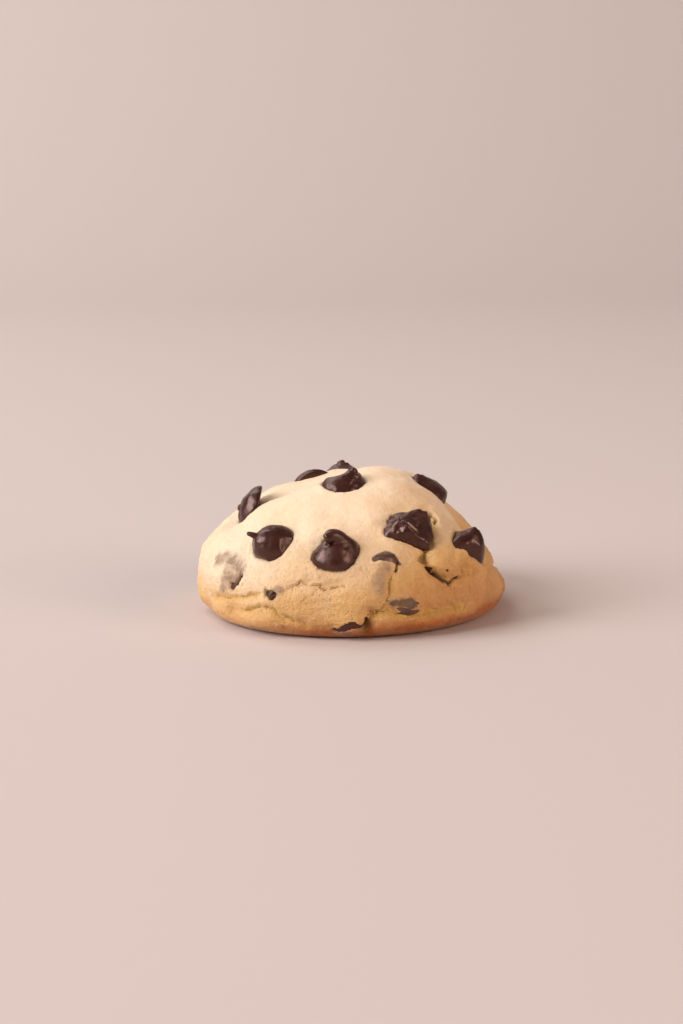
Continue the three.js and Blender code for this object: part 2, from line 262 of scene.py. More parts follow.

# Browning of the skin, from 0 to 1, with painted light and shade in it: the left is made paler as
# painted light, and the right side and the right of the rim browner, partly real browning and partly
# painted shade. Strengths, and the heights, or shares of the way to the browned and shaded side,
# between which each one changes
BROWNED_SHADED_SIDE = 75
WARM, WARM_HEIGHTS = 0.45, (8, 36)
RIGHT_BROWNING_AND_SHADE, RIGHT_SHARES, RIGHT_HEIGHTS = 0.26, (0.1, 0.9), (32, 42)
RIGHT_LESS, LESS_HEIGHTS = 0.3, (12, 24)
LEFT_PAINTED_LIGHT, LEFT_SHARES, LEFT_HEIGHTS = -0.42, (-0.1, 0.7), (5, 16)
RIM, RIM_RIGHT, RIM_SHARES, RIM_HEIGHTS = 0.22, 0.36, (-0.5, 0.3), (0.6, 6.5)
PATCHES, PATCH_SIZES = 0.06, (14, 5, 0.6)

# A chip's plain form, as packed
CHIP_BELLY = 0.5
CHIP_FLAT = 0.9
CHIP_EDGE = 0.08
FOOT_STEPS = 5
EDGE_STEPS = 7
SIDE_STEPS = 34
TIP_STEPS = 6
SIDE_END = 0.999
NIB_STEPS = 8
TIP_ROUND = 0.75  # height of the rounded tip, as a share of its radius
NIB_TAPER = 0.4  # how much a drawn tip thins towards its end
DOME_WIDE = 1.04  # a domed chip's radius, of the plain chip's
RING_OUT = 1.0  # radius of the groove round a curled tip's end
RING_WIDE = 0.35  # width of that groove
RING_MIDDLE = 0.5  # height of the middle that it is pressed towards, as a share
RUGGED_NOISE = (2.4, 0.95, 0.5)  # size of a chip's roughness, a finer size and its share
RUGGED_SHIFT = 50  # that noise is read this far from the middle of the chip's foot, each way
SMEAR_UNEVEN = 0.5  # how uneven the dough smeared over a chip is
SMEAR_NOISE = (2.0, 0.8, 0.5)  # over what length, over what finer one, and the finer one's share
SCRAPE_HALF = 0.45  # half the width of a scrape
SCRAPE_ABOVE = 1  # a scrape lies above this height
FLANGE_HIGH = 1.1  # height over which a flange dies away
FLANGE_TURN = 17  # degrees to each side over which it does
FLANGE_FROM = (2, 5)  # distances from the chip's middle over which it begins
DENT_RISE = np.array([0, 0, 0.25])  # a dent's direction rises this much
MIDDLE_AT = 0.35  # height of the middle that breaks and bumps are measured from, as a share
BREAK_KEEP = 0.08  # share of what a break cuts off that stays, so that its face isn't dead flat

# What sets one chip apart. Directions are degrees round the chip: 0 is right, 90 up the slope.
# full makes its sides rounder, round is the share of a plain dome in its form, tall its height, of the
# packed one, and squash its width up the slope, of its width across. The tip is nib long and nib_wide
# in radius, and curl bends it over, in degrees, towards curl_to, from curl_from up. ring is a groove
# round the tip's end.
# A dent has a direction, a height as a share, a spread and a depth, which is negative for a bulge.
# A break is a flat face: direction, rise of its normal and distance from the chip's middle. A flange
# has a direction and a reach. film is how thickly dough is smeared over the chip, scrape is a pale
# mark from one point to another as seen along the axis, and rugged is the height of its roughness.
ChipStyle = namedtuple(
    "ChipStyle",
    "full round tall squash nib nib_wide curl curl_to curl_from ring "
    "dents breaks flanges film scrape rugged",
    defaults=(0.0, 0.0, 1.0, 1.0, 0.8, 0.5, 20, 0, 0.8, 0.0, (), (), (), 0.0, None, 0.0),
)
CHIP_STYLES = {
    "chip_front_centre": ChipStyle(
        nib=3.1, nib_wide=2.7, curl=125, curl_to=228, curl_from=0.6, ring=0.55,
        dents=((172, 0.42, 1.9, 1.4), (330, 0.35, 1.8, 0.3), (15, 0.6, 2.3, -1.1)),
        flanges=((190, 2.2), (352, 1.8)), rugged=0.14,
    ),
    "chip_front_left": ChipStyle(
        round=1.0, tall=0.92, nib=2.3, nib_wide=0.95, curl=50, curl_to=180, curl_from=0.8,
        dents=((275, 0.35, 1.2, 0.5), (235, 0.45, 0.9, 0.5), (250, 0.7, 0.8, 0.35)),
        breaks=((262, 0, 4.7), (0, 0, 5.6)), rugged=0.16,
    ),
    "chip_front_right": ChipStyle(
        full=0.3, nib=0.0, nib_wide=1.2,
        dents=((150, 0.6, 1.2, 0.9), (265, 0.5, 1.1, 0.6), (110, 0.35, 1.0, 0.9), (5, 0.42, 2.8, -4.4)),
        breaks=((243, 8, 3.9), (128, 55, 4.3), (318, 50, 4.1), (340, 12, 7.2), (70, 8, 4.8)),
        flanges=((287, 1.5), (172, 0.8)), scrape=(0.9, -1.8, 2.3, -3.6), rugged=0.5,
    ),
    "chip_right_cone": ChipStyle(
        full=-0.12, tall=1.12, nib=0.0, nib_wide=1.5, curl=34, curl_to=80, curl_from=0.35,
        breaks=((228, 10, 4.4), (118, 15, 3.9)), flanges=((165, 0.8),), rugged=0.12,
    ),
    "chip_left_shoulder": ChipStyle(
        round=1.0, tall=1.1, squash=1.14, nib=0.0, nib_wide=1.4, curl=0,
        dents=((90, 0.6, 1.6, 0.5), (150, 0.6, 1.0, 0.4)), rugged=0.2,
    ),
    "chip_crown_front": ChipStyle(
        full=0.2, round=0.35, tall=1.05, squash=0.95, nib=0.0, nib_wide=2.2, curl=12, curl_to=0,
        dents=((168, 0.55, 2.6, 3.0),), rugged=0.25,
    ),
    "chip_crown_back": ChipStyle(full=0.4, round=0.4, nib=0.2, nib_wide=2.1, rugged=0.2),
    "chip_crown_left": ChipStyle(full=0.25, tall=0.82, nib=0.0, nib_wide=1.2),
    "chip_right_shoulder": ChipStyle(
        full=0.3, tall=1.2, nib=0.0, nib_wide=1.4, breaks=((90, 8, 4.6),), rugged=0.2,
    ),
    "chip_left_smeared": ChipStyle(nib=0.0, nib_wide=1.6, film=0.1, rugged=0.25),
    "chip_peeking_arc": ChipStyle(film=0.1, rugged=0.15),
    "chip_peeking_point": ChipStyle(nib=0.0, nib_wide=0.5, curl=0),
    "chip_under_film": ChipStyle(film=0.2),
}
STYLE_TURN = 97.0  # plain chips' tips lean in turn by this angle
PLAIN_CURL = (25, 35)  # how far they lean at least, and how much more at most
PLAIN_NIB = (0.1, 0.5)  # and the same for how long their tips are
PLAIN_NIB_WIDE = 0.6
PLAIN_DENT = (140, 0.4, 1.6, 0.3)  # their dent, with its direction counted from the lean
PLAIN_RUGGED = 0.12

# Crumbs: largest turns about each axis, and smallest and largest stretch
CRUMB_TURNS = (6.2832, 6.2832, 6.2832)
CRUMB_STRETCH = ((0.45, 0.45, 0.35), (1.5, 1.4, 1.1))

# The photograph's camera, and the lights: place, size and colour. These are in metres.
AIM = Vector((-3.2, 0.0, 26.8)) * MM
SENSOR = 36.0  # width of the camera's sensor in millimetres
LIT_POINT = Vector((0, 0, 0.02))
LIGHTS = {
    "key": ((-1.9, -0.7, 1.1), 1.5, (1.0, 0.94, 0.93)),
    "back": ((-0.8, 0.7, 1.4), 1.1, (1.0, 0.96, 0.93)),
    "fill": ((1.5, -0.9, 0.7), 1.0, (1.0, 0.74, 0.58)),
}
WORLD_COLOUR = (1.0, 0.95, 0.91, 1.0)

# Floor and backdrop in metres: half width, near edge, start and radius of the bend, and top
FLOOR_HALF, FLOOR_FRONT, FLOOR_BACK, FLOOR_BEND, FLOOR_TOP = 5.0, -5.0, 0.9, 0.8, 3.0
FLOOR_STEPS = 16
FLOOR_DROP = 0.0004

FLOAT = "NodeSocketFloat"
STRATA_STRETCH = (1.0, 1.0, 5.0)  # the strata are this much thinner than they are long


def colour_setting(name, description, default):
    """A colour that a user can change."""
    return FloatVectorProperty(
        name=name, description=description, default=default, subtype="COLOR", min=0, max=1
    )


def number_setting(name, description, default, unit="LENGTH", low=0):
    """A number that a user can change and that has a least value, in metres, watts or no unit."""
    return FloatProperty(name=name, description=description, default=default, unit=unit, min=low)


class DoughSettings(bpy.types.PropertyGroup):
    """Sizes and colours of the dough."""

    # pale also paints light on the left of the dough, and golden and browned partly paint shade on the
    # right
    pale: colour_setting("Pale dough", "Colour of the unbrowned top", (0.87, 0.68, 0.47))
    golden: colour_setting("Golden dough", "Colour of the lightly baked sides", (0.74, 0.44, 0.17))
    browned: colour_setting("Browned dough", "Colour of the browned rim and base", (0.45, 0.125, 0.014))
    # inner also stands partly for painted shade inside a break
    inner: colour_setting("Inner dough", "Colour of the moist dough inside a break", (0.70, 0.45, 0.09))
    film: colour_setting("Film", "Colour of dough smeared thinly over chocolate", (0.52, 0.35, 0.23))
    # stain also paints shade in breaks and openings
    stain: colour_setting("Stain", "Colour of chocolate that shows in the dough", (0.036, 0.012, 0.006))
    broad: number_setting("Broad unevenness", "Height of the skin's slow unevenness", 0.0005)
    grain: number_setting("Grain", "Height of the dough's grain", 0.00031)
    strata: number_setting("Strata", "Height of the fine level lines low on the sides", 0.00027)
    pores: number_setting("Pores", "Depth of the small pits", 0.0004)


class ChipSettings(bpy.types.PropertyGroup):
    """Sizes and colours of the chips."""

    chocolate: colour_setting("Chocolate", "Colour of the chocolate", (0.03, 0.006, 0.003))
    bloom: colour_setting("Bloom", "Colour of the chocolate's dull patches", (0.085, 0.028, 0.019))
    smear: colour_setting("Smear", "Colour of dough smeared over a chip", (0.50, 0.33, 0.25))
    sides: IntProperty(name="Sides", description="Vertices round a chip", default=96, min=24, max=160)
    wave: number_setting("Unevenness", "Height of the slow unevenness of a chip", 0.00018)
    skin: number_setting("Skin", "Height of the fine roughness of a chip", 0.00003)


class CrumbSettings(bpy.types.PropertyGroup):
    """How many crumbs lie along the breaks, and how large they are."""

    density: number_setting("Density", "Crumbs on a square metre of crumbly skin", 1800000, "NONE")
    size: number_setting("Size", "Radius of a middling crumb", 0.00022)
    seed: IntProperty(name="Seed", description="Which scatter of crumbs", default=4, min=0)


class StageSettings(bpy.types.PropertyGroup):
    """Camera, lights and backdrop."""

    backdrop: colour_setting("Backdrop", "Colour of the floor and backdrop", (0.64, 0.56, 0.535))
    key: number_setting("Key light", "Power of the large soft light from the left", 59.0, "POWER")
    back: number_setting("Back light", "Power of the soft light from behind on the left", 11.0, "POWER")
    fill: number_setting("Fill light", "Power of the weak warm light from the right", 18.0, "POWER")
    world: number_setting("Surroundings", "Strength of the even light from all round", 0.17, "NONE")
    distance: number_setting(
        "Camera distance", "From the camera to the point that it looks at", 0.68, low=0.1
    )
    elevation: FloatProperty(
        name="Camera elevation", description="How far the camera looks down",
        default=math.radians(10.5), unit="ROTATION",
    )
    roll: FloatProperty(
        name="Camera roll", description="How far the camera is turned about its line of sight",
        default=math.radians(-0.7), unit="ROTATION",
    )
    lens: number_setting("Lens", "Focal length in millimetres", 85.0, "NONE", 10)


def smoothstep(value, low, high):
    """0 below low, 1 above high and a smooth rise between."""
    share = np.clip((value - low) / (high - low), 0, 1)
    return share * share * (3 - 2 * share)


def fall(value, low, high):
    """1 below low, 0 above high and a smooth fall between."""
    return smoothstep(-value, -high, -low)


def bell(value, wide):
    """1 at 0, falling away to both sides over a width."""
    return np.exp(-((value / wide) ** 2))


def tapered(along, length, taper):
    """1 along a path, and a smooth fall to 0 at both ends."""
    return smoothstep(along, 0, taper) * smoothstep(length - along, 0, taper)


def lump(points, centre, spread):
    """1 at a centre, falling away all round over a spread."""
    return np.exp(-((points - centre) ** 2).sum(axis=1) / (2 * spread**2))


def level_heading(turn):
    """The level direction at an angle in degrees, from +X towards +Y."""
    return np.array([math.cos(math.radians(turn)), math.sin(math.radians(turn)), 0.0])


def unit(vectors):
    """The vectors at length 1."""
    return vectors / np.linalg.norm(vectors, axis=-1, keepdims=True)


def cell_values(cells, seed):
    """A repeatable value from -1 to 1 for each whole-numbered cell."""
    mixed = cells[:, 0] * 73856093 ^ cells[:, 1] * 19349663 ^ cells[:, 2] * 83492791 ^ seed * 2654435761
    mixed = (mixed ^ (mixed >> 13)) * 1274126177 & 0xFFFFFFFF
    mixed = mixed ^ (mixed >> 16)
    return (mixed & 0xFFFF) / 32767.5 - 1


def smooth_noise(points, size, seed):
    """Noise from -1 to 1 at points, with swellings about size across."""
    at = points / size
    cells = np.floor(at).astype(np.int64)
    part = at - cells
    part = part * part * (3 - 2 * part)
    total = np.zeros(len(points))
    for corner in np.ndindex(2, 2, 2):
        share = np.where(corner, part, 1 - part).prod(axis=1)
        total += share * cell_values(cells + corner, seed)
    return total


def ragged_noise(points, size, finer, share, seed):
    """Noise of one size with a share of a finer one."""
    return smooth_noise(points, size, seed) + share * smooth_noise(points, finer, seed + 1)


def noise_vectors(points, size, seed):
    """Vectors of noise from -1 to 1 each way."""
    return np.stack([smooth_noise(points, size, seed + k) for k in range(3)], axis=1)


def foot_fade(points):
    """How far the relief shows: not at the flat base, and wholly above it."""
    return smoothstep(points[:, 2], 0, FOOT_FADE)


def plain_outline():
    """The outline from the top of the dome to the foot's edge: columns of distance down, radius,
    height, and the outward and upward parts of its direction."""
    angle = np.linspace(0, math.pi / 2, OUTLINE_STEPS + 1)
    radius = ACROSS / 2
    dome = np.stack(
        [
            radius * np.sin(angle),
            RIM_AT + (TALL - RIM_AT) * np.cos(angle),
            radius * np.cos(angle),
            -(TALL - RIM_AT) * np.sin(angle),
        ],
        axis=1,
    )
    rim = np.stack(
        [
            radius - FOOT_INSET * (1 - np.cos(angle)),
            RIM_AT * (1 - np.sin(angle)),
            -FOOT_INSET * np.sin(angle),
            -RIM_AT * np.cos(angle),
        ],
        axis=1,
    )
    rows = np.concatenate([dome, rim[1:]])
    steps = np.linalg.norm(np.diff(rows[:, :2], axis=0), axis=1)
    down = np.concatenate([[0], np.cumsum(steps)])
    return np.column_stack([down, rows[:, :2], unit(rows[:, 2:])])


OUTLINE = plain_outline()
FOOT_DOWN = OUTLINE[-1, 0]
FOOT_RADIUS = OUTLINE[-1, 1]
OUTLINE_END = FOOT_DOWN + FOOT_RADIUS


def outline_at(down):
    """Radius, height and direction of the outline at distances down, the flat base included."""
    columns = (np.interp(down, OUTLINE[:, 0], OUTLINE[:, k]) for k in range(1, 5))
    radius, height, outwards, upwards = columns
    inside = np.maximum(down - FOOT_DOWN, 0)
    return radius - inside, height, outwards, upwards


def plain_place(around, down):
    """Points of the plain dough and its outward normals at places given as numbers or arrays."""
    around, down = np.broadcast_arrays(np.radians(around), np.asarray(down, float))
    radius, height, outwards, upwards = outline_at(down)
    oval = 1 + OVAL * np.cos(2 * (around - math.radians(OVAL_TURN)))
    out = np.stack([np.sin(around), -np.cos(around)], axis=-1)
    points = np.concatenate([out * (radius * oval)[..., None], height[..., None]], axis=-1)
    normals = np.concatenate([out * -upwards[..., None], outwards[..., None]], axis=-1)
    return points, normals


def path_gap(points, path):
    """For each point, its distance from a path of places, the length along the path where it comes
    nearest, the path's whole length, and the vector from the path with the path's direction there."""
    corners = plain_place([place[0] for place in path], [place[1] for place in path])[0]
    gap = np.full(len(points), np.inf)
    along = np.zeros(len(points))
    offset = np.zeros_like(points)
    heading = np.zeros_like(points)
    walked = 0.0
    for start, end in zip(corners[:-1], corners[1:]):
        length = np.linalg.norm(end - start)
        direction = (end - start) / length
        share = np.clip((points - start) @ direction, 0, length)
        away = points - start - share[:, None] * direction
        distance = np.linalg.norm(away, axis=1)
        nearer = distance < gap
        gap[nearer] = distance[nearer]
        along[nearer] = walked + share[nearer]
        offset[nearer] = away[nearer]
        heading[nearer] = direction
        walked += length
    return gap, along, walked, offset, heading


def packed_relief(points):
    """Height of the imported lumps, folds and swell over the plain outline."""
    height = np.zeros(len(points))
    for around, down, spread, rise in LUMPS:
        height += rise * lump(points, plain_place(around, down)[0], spread)
    for path, wide, rise in STROKES:
        height += rise * bell(path_gap(points, path)[0], wide)
    for k in range(SWELL_WAVES):
        share = (k + 0.5) / SWELL_WAVES
        turn = 2 * math.pi * GOLDEN * k
        level = 2 * share - 1
        flat = math.sqrt(1 - level * level)
        length = SWELL_LONGEST + (SWELL_SHORTEST - SWELL_LONGEST) * share
        direction = np.array([flat * math.cos(turn), flat * math.sin(turn), level])
        height += SWELL_RISE * length * np.sin(2 * math.pi * (points @ direction) / length + turn * k)
    return height * foot_fade(points)


def cut_relief(points, normals):
    """Height of the sharp breaks, and masks of how broken, crumbly and dark the skin is; dark is
    chocolate and painted shade in the gap of a break.
    """
    wander = noise_vectors(points, CUT_WANDER_SIZE, 11)
    finer = noise_vectors(points, CUT_WANDER_SIZE / CUT_FINER, 14)
    strayed = points + CUT_WANDER * wander + CUT_FINER_SHARE * CUT_WANDER * finer
    uneven = smooth_noise(points, CUT_UNEVEN_SIZE, 21)
    height, broken, crumbly, dark = np.zeros((4, len(points)))
    for cut in CUTS:
        gap, along, length, offset, heading = path_gap(strayed, cut.path)
        side = np.tanh(STEP_SHARP * (np.cross(normals, heading) * offset).sum(axis=1) / cut.wide)
        ends = tapered(along, length, min(CUT_TAPER, length / 3))
        height -= cut.depth * bell(gap, cut.wide) * ends * (1 + CUT_UNEVEN * uneven)
        lip = bell(gap - LIP_AT * cut.wide, LIP_WIDE * cut.wide) * ends
        height += cut.lip * lip * (1 + LIP_UNEVEN * uneven)
        height += cut.step * side * np.exp(-gap / STEP_REACH) * ends
        broken = np.maximum(broken, bell(gap, BROKEN_WIDE * cut.wide) * ends)
        crumbly = np.maximum(crumbly, cut.crumbly * bell(gap, CRUMBLY_WIDE * cut.wide) * ends)
        # a break's dark paints chocolate and shade down in its gap
        dark = np.maximum(dark, cut.dark * np.exp(-((gap / cut.wide) ** 4)) * ends)
    fade = foot_fade(points)
    return height * fade, broken * fade, crumbly * fade, dark * fade


def film_masks(points):
    """Where thin films lie on the skin, with ragged edges, and where chocolate shows through them."""
    mask, dark = np.zeros((2, len(points)))
    ragged = ragged_noise(points, *FILM_NOISE, 31)
    for film in FILMS:
        gap = path_gap(points, film.path)[0]
        near, far = (film.radius * share for share in FILM_EDGE)
        inside = fall(gap - FILM_RAGGED * ragged, near, far)
        mask = np.maximum(mask, film.strength * inside)
        dark = np.maximum(dark, film.dark * smoothstep(inside + SHOWING_RAGGED * ragged, 0.5, 1.0))
    return mask, dark


def lap_relief(points):
    """Height of the laps of dough over the chips' lower edges."""
    height = np.zeros(len(points))
    uneven = smooth_noise(points, LAP_UNEVEN_SIZE, 38)
    for path, half, rise in LAPS:
        gap, along, length, _, _ = path_gap(points, path)
        form = LAP_STEEP * bell(gap, half) + LAP_SOFT * bell(gap, LAP_SOFT_WIDE * half)
        height += rise * (1 + LAP_UNEVEN * uneven) * tapered(along, length, length / 4) * form
    return height


def opening_mask(points):
    """Where a covered chip peeks out, with sharp uneven edges and narrow ends."""
    mask = np.zeros(len(points))
    ragged = OPENING_RAGGED * ragged_noise(points, *OPENING_NOISE, 35)
    for opening in OPENINGS:
        gap, along, length, _, _ = path_gap(points, opening.path)
        middle = np.sin(math.pi * np.clip(along / length, 0, 1))
        half = opening.half * (OPENING_ENDS + (1 - OPENING_ENDS) * middle)
        mask = np.maximum(mask, smoothstep(half + ragged - gap, -OPENING_EDGE, OPENING_EDGE))
    return mask


def cover_height(points, normals, faces):
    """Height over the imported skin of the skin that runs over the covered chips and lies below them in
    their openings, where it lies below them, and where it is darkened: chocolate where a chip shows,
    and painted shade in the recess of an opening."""
    tree = chip_tree(COVERED)
    chip_high = np.full(len(points), -np.inf)
    starts = points + normals * COVER_REACH
    for i in np.flatnonzero(near_covered(points)):
        hit = tree.ray_cast(Vector(starts[i]), Vector(-normals[i]), 2 * COVER_REACH)
        if hit[0] is not None:
            chip_high[i] = COVER_REACH - hit[3]
    wanted = np.maximum(chip_high + COVER, 0)
    height = wanted.copy()
    edges = np.concatenate([faces[:, [0, 1]], faces[:, [1, 2]], faces[:, [2, 0]]])
    edges = np.concatenate([edges, edges[:, ::-1]])
    count = np.bincount(edges[:, 0], minlength=len(points))
    for _ in range(COVER_ROUNDS):
        around = np.bincount(edges[:, 0], weights=height[edges[:, 1]], minlength=len(points)) / count
        height = np.maximum(wanted, around)
    # the whole opening is darkened: chocolate where the chip shows, painted shade in the recess beside it
    opening_stain_and_shade = opening_mask(points)
    opening = opening_stain_and_shade * smoothstep(chip_high, -OPENING_DEPTH, 0)
    below = np.minimum(np.where(np.isfinite(chip_high), chip_high, 0), height) - OPENING_DEPTH
    return height + (below - height) * opening, opening, opening_stain_and_shade


def near_covered(points):
    """Which points lie close enough to a covered chip to be moved by it."""
    near = np.zeros(len(points), bool)
    for node in COVERED:
        low, high = (np.array(corner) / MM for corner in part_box(node))
        near |= ((points > low - COVER_REACH) & (points < high + COVER_REACH)).all(axis=1)
    return near


def browning_and_painted_light(points, around):
    """How browned the skin is: pale on top, paler on the left as painted light, golden low down, browner
    on the right partly as painted shade, and brown at the rim, more on the right partly as painted shade.
    """
    height = points[:, 2]
    side = np.cos(np.radians(around - BROWNED_SHADED_SIDE))
    warm = WARM * fall(height, *WARM_HEIGHTS)
    # browner towards the right: part browning, part painted shade on the side away from the light
    right = RIGHT_BROWNING_AND_SHADE * smoothstep(side, *RIGHT_SHARES) * fall(height, *RIGHT_HEIGHTS)
    right *= 1 - RIGHT_LESS * smoothstep(height, *LESS_HEIGHTS)
    # paler towards the left: painted light where the light falls
    left = LEFT_PAINTED_LIGHT * smoothstep(-side, *LEFT_SHARES) * smoothstep(height, *LEFT_HEIGHTS)
    # brown at the rim, more on the right, partly painted shade
    rim = (RIM + RIM_RIGHT * smoothstep(side, *RIM_SHARES)) * fall(height, *RIM_HEIGHTS)
    patches = PATCHES * ragged_noise(points, *PATCH_SIZES, 41)
    return np.clip(warm + right + left + rim + patches, 0, 1)


def row_distances():
    """Distances down of the fine skin's rings, closest where the cracks are."""
    rows = [0.0]
    while rows[-1] < OUTLINE_END - ROW_STEPS[-1]:
        rows.append(rows[-1] + float(np.interp(rows[-1], ROW_AT, ROW_STEPS)))
    return rows


def ring_angles(down):
    """Degrees around of a ring's vertices, closer at the front."""
    radius = float(outline_at(np.array(down))[0])
    step = float(np.interp(down, ROW_AT, ROW_STEPS)) * RING_STRETCH
    count = max(LAST_RING, round(2 * math.pi * radius / step))
    turn = 2 * math.pi * np.arange(count) / count
    return np.degrees(turn - FRONT_DENSER * np.sin(turn))


def stitched_rings(counts):
    """Triangles of a skin through rings of these many vertices, from a single point to a last ring
    that closes round one more point."""
    starts = np.concatenate([[0], np.cumsum(counts)])
    faces = []
    for k in range(1, len(counts)):
        upper, lower = counts[k - 1], counts[k]
        above, below = int(starts[k - 1]), int(starts[k])
        i = j = 0
        while j < lower or (upper > 1 and i < upper):
            next_lower = i >= upper or (j + 1) / lower <= (i + 1) / upper
            if upper == 1 or (j < lower and next_lower):
                faces.append((above + i % upper, below + j % lower, below + (j + 1) % lower))
                j += 1
            else:
                faces.append((above + i % upper, below + j % lower, above + (i + 1) % upper))
                i += 1
    last, middle = int(starts[-2]), int(starts[-1])
    faces += [(last + i, middle, last + (i + 1) % counts[-1]) for i in range(counts[-1])]
    return faces


def chip_tree(nodes):
    """A search tree over these nodes' finished chips, in millimetres."""
    vertices = []
    faces = []
    for node in nodes:
        mesh = bpy.data.objects[piece_name(node)].data
        first = len(vertices)
        vertices += [vertex.co / MM for vertex in mesh.vertices]
        faces += [[first + i for i in face.vertices] for face in mesh.polygons]
    return BVHTree.FromPolygons(vertices, faces)


def contact_relief(points, normals):
    """Height that the skin gains or loses round the bare chips, and how close the chocolate lies."""
    tree = chip_tree([node for node in CHIP_NODES if node not in COVERED])
    height, stain = np.zeros((2, len(points)))
    uneven = smooth_noise(points, CONTACT_UNEVEN_SIZE, 51)
    for i, point in enumerate(points):
        near, face_normal, _, distance = tree.find_nearest(Vector(point), CONTACT_REACH)
        if near is None:
            continue
        away = Vector(point) - near
        outward = away.dot(face_normal) > 0
        gap = distance if outward else -distance
        lying_over = away.normalized().dot(Vector(normals[i])) if outward and distance > 0 else 0.0
        beside = fall(lying_over, *LYING_OVER)
        dip = -CONTACT_DIP * fall(gap, 0.0, CONTACT_EDGE)
        swell = CONTACT_LIP * (1 + CONTACT_UNEVEN * uneven[i])
        swell *= bell(gap - CONTACT_LIP_AT, CONTACT_LIP_WIDE)
        height[i] = (dip + swell) * beside
        stain[i] = fall(gap, *STAIN_REACH) * max(beside, STAIN_LEAST)
    return height, stain


def make_mesh_object(name, points, faces, attributes):
    """A smooth mesh object from points in millimetres, with a value per vertex for each attribute."""
    mesh = bpy.data.meshes.new(name)
    mesh.from_pydata((points * MM).tolist(), [], faces, shade_flat=False)
    for label, values in attributes.items():
        layer = mesh.attributes.new(label, "FLOAT", "POINT")
        layer.data.foreach_set("value", np.asarray(values, np.float32))
    mesh.validate()
    made = bpy.data.objects.new(name, mesh)
    bpy.context.scene.collection.objects.link(made)
    return made


def dough_object(name):
    """The fine skin of the dough, before its grain."""
    rows = row_distances()
    rings = [np.zeros(1)] + [ring_angles(down) for down in rows[1:]] + [np.zeros(1)]
    rows.append(OUTLINE_END)
    around = np.concatenate(rings)
    down = np.concatenate([np.full(len(ring), row) for ring, row in zip(rings, rows)])
    faces = np.array(stitched_rings([len(ring) for ring in rings[:-1]]))
    plain, normals = plain_place(around, down)
    fade = foot_fade(plain)
    points = plain + normals * (packed_relief(plain) - SKIN_INSET * fade)[:, None]
    cover, opening, opening_stain_and_shade = cover_height(points, normals, faces)
    cuts, broken, crumbly, dark = cut_relief(plain, normals)
    films, showing = film_masks(plain)
    laps = lap_relief(plain)
    points += normals * (cover + cuts * (1 - opening) + laps)[:, None]
    contact, stain = contact_relief(points, normals)
    stain *= 1 - np.clip(laps, 0, 1)
    points += normals * (contact * fade)[:, None]
    rough = ROUGH_LOW * fall(points[:, 2], *ROUGH_HEIGHTS) + ROUGH_TOP
    beside = STAIN_BESIDE * stain * fade
    attributes = {
        "broken": broken,
        "crumbly": crumbly,
        "film": films,
        # dark colour beside the chips, and chocolate with painted shade in breaks and openings
        "stain": np.maximum.reduce([beside, dark, showing, OPENING_STAIN_AND_SHADE * opening_stain_and_shade]),
        # browning, with painted light on the left and painted shade on the right
        "baked": browning_and_painted_light(points, around),
        "rough": np.clip(rough + ROUGH_FILM * films, 0, ROUGH_MOST),
        "fade": fade,
    }
    return make_mesh_object(name, points, faces.tolist(), attributes)


def piece_name(node):
    """Name of the piece that stands for a node."""
    return node + "_finish"


def packed_triangles(node):
    """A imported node's vertices, in millimetres, and triangles."""
    mesh = frame["nodes"][node].data
    corners = np.array([vertex.co for vertex in mesh.vertices]) / MM
    faces = np.array([face.vertices for face in mesh.polygons])
    return corners, faces


def chip_pose(node):
    """Foot centre, directions to the right, up the slope and to the tip as rows, radius and height of
    a packed chip. Its foot is the largest flat face, and its tip is furthest from that."""
    corners, faces = packed_triangles(node)
    a, b, c = (corners[faces[:, k]] for k in range(3))
    cross = np.cross(b - a, c - a)
    areas = np.linalg.norm(cross, axis=1) / 2
    directions = unit(cross)
    alike = directions @ directions.T > 0.9995
    foot = alike[np.argmax(alike @ areas)]
    axis = -unit((directions[foot] * areas[foot, None]).sum(axis=0))
    rim = np.unique(corners[faces[foot]].reshape(-1, 3).round(3), axis=0)
    middle = rim.mean(axis=0)
    away = np.linalg.norm(rim - middle, axis=1)
    height = ((corners - middle) @ axis).max()
    around = math.atan2(middle[0], -middle[1])
    level = np.array([math.cos(around), math.sin(around), 0])
    right = unit(level - (level @ axis) * axis)
    return middle, np.stack([right, np.cross(axis, right), axis]), away.max() / CHIP_FLAT, height


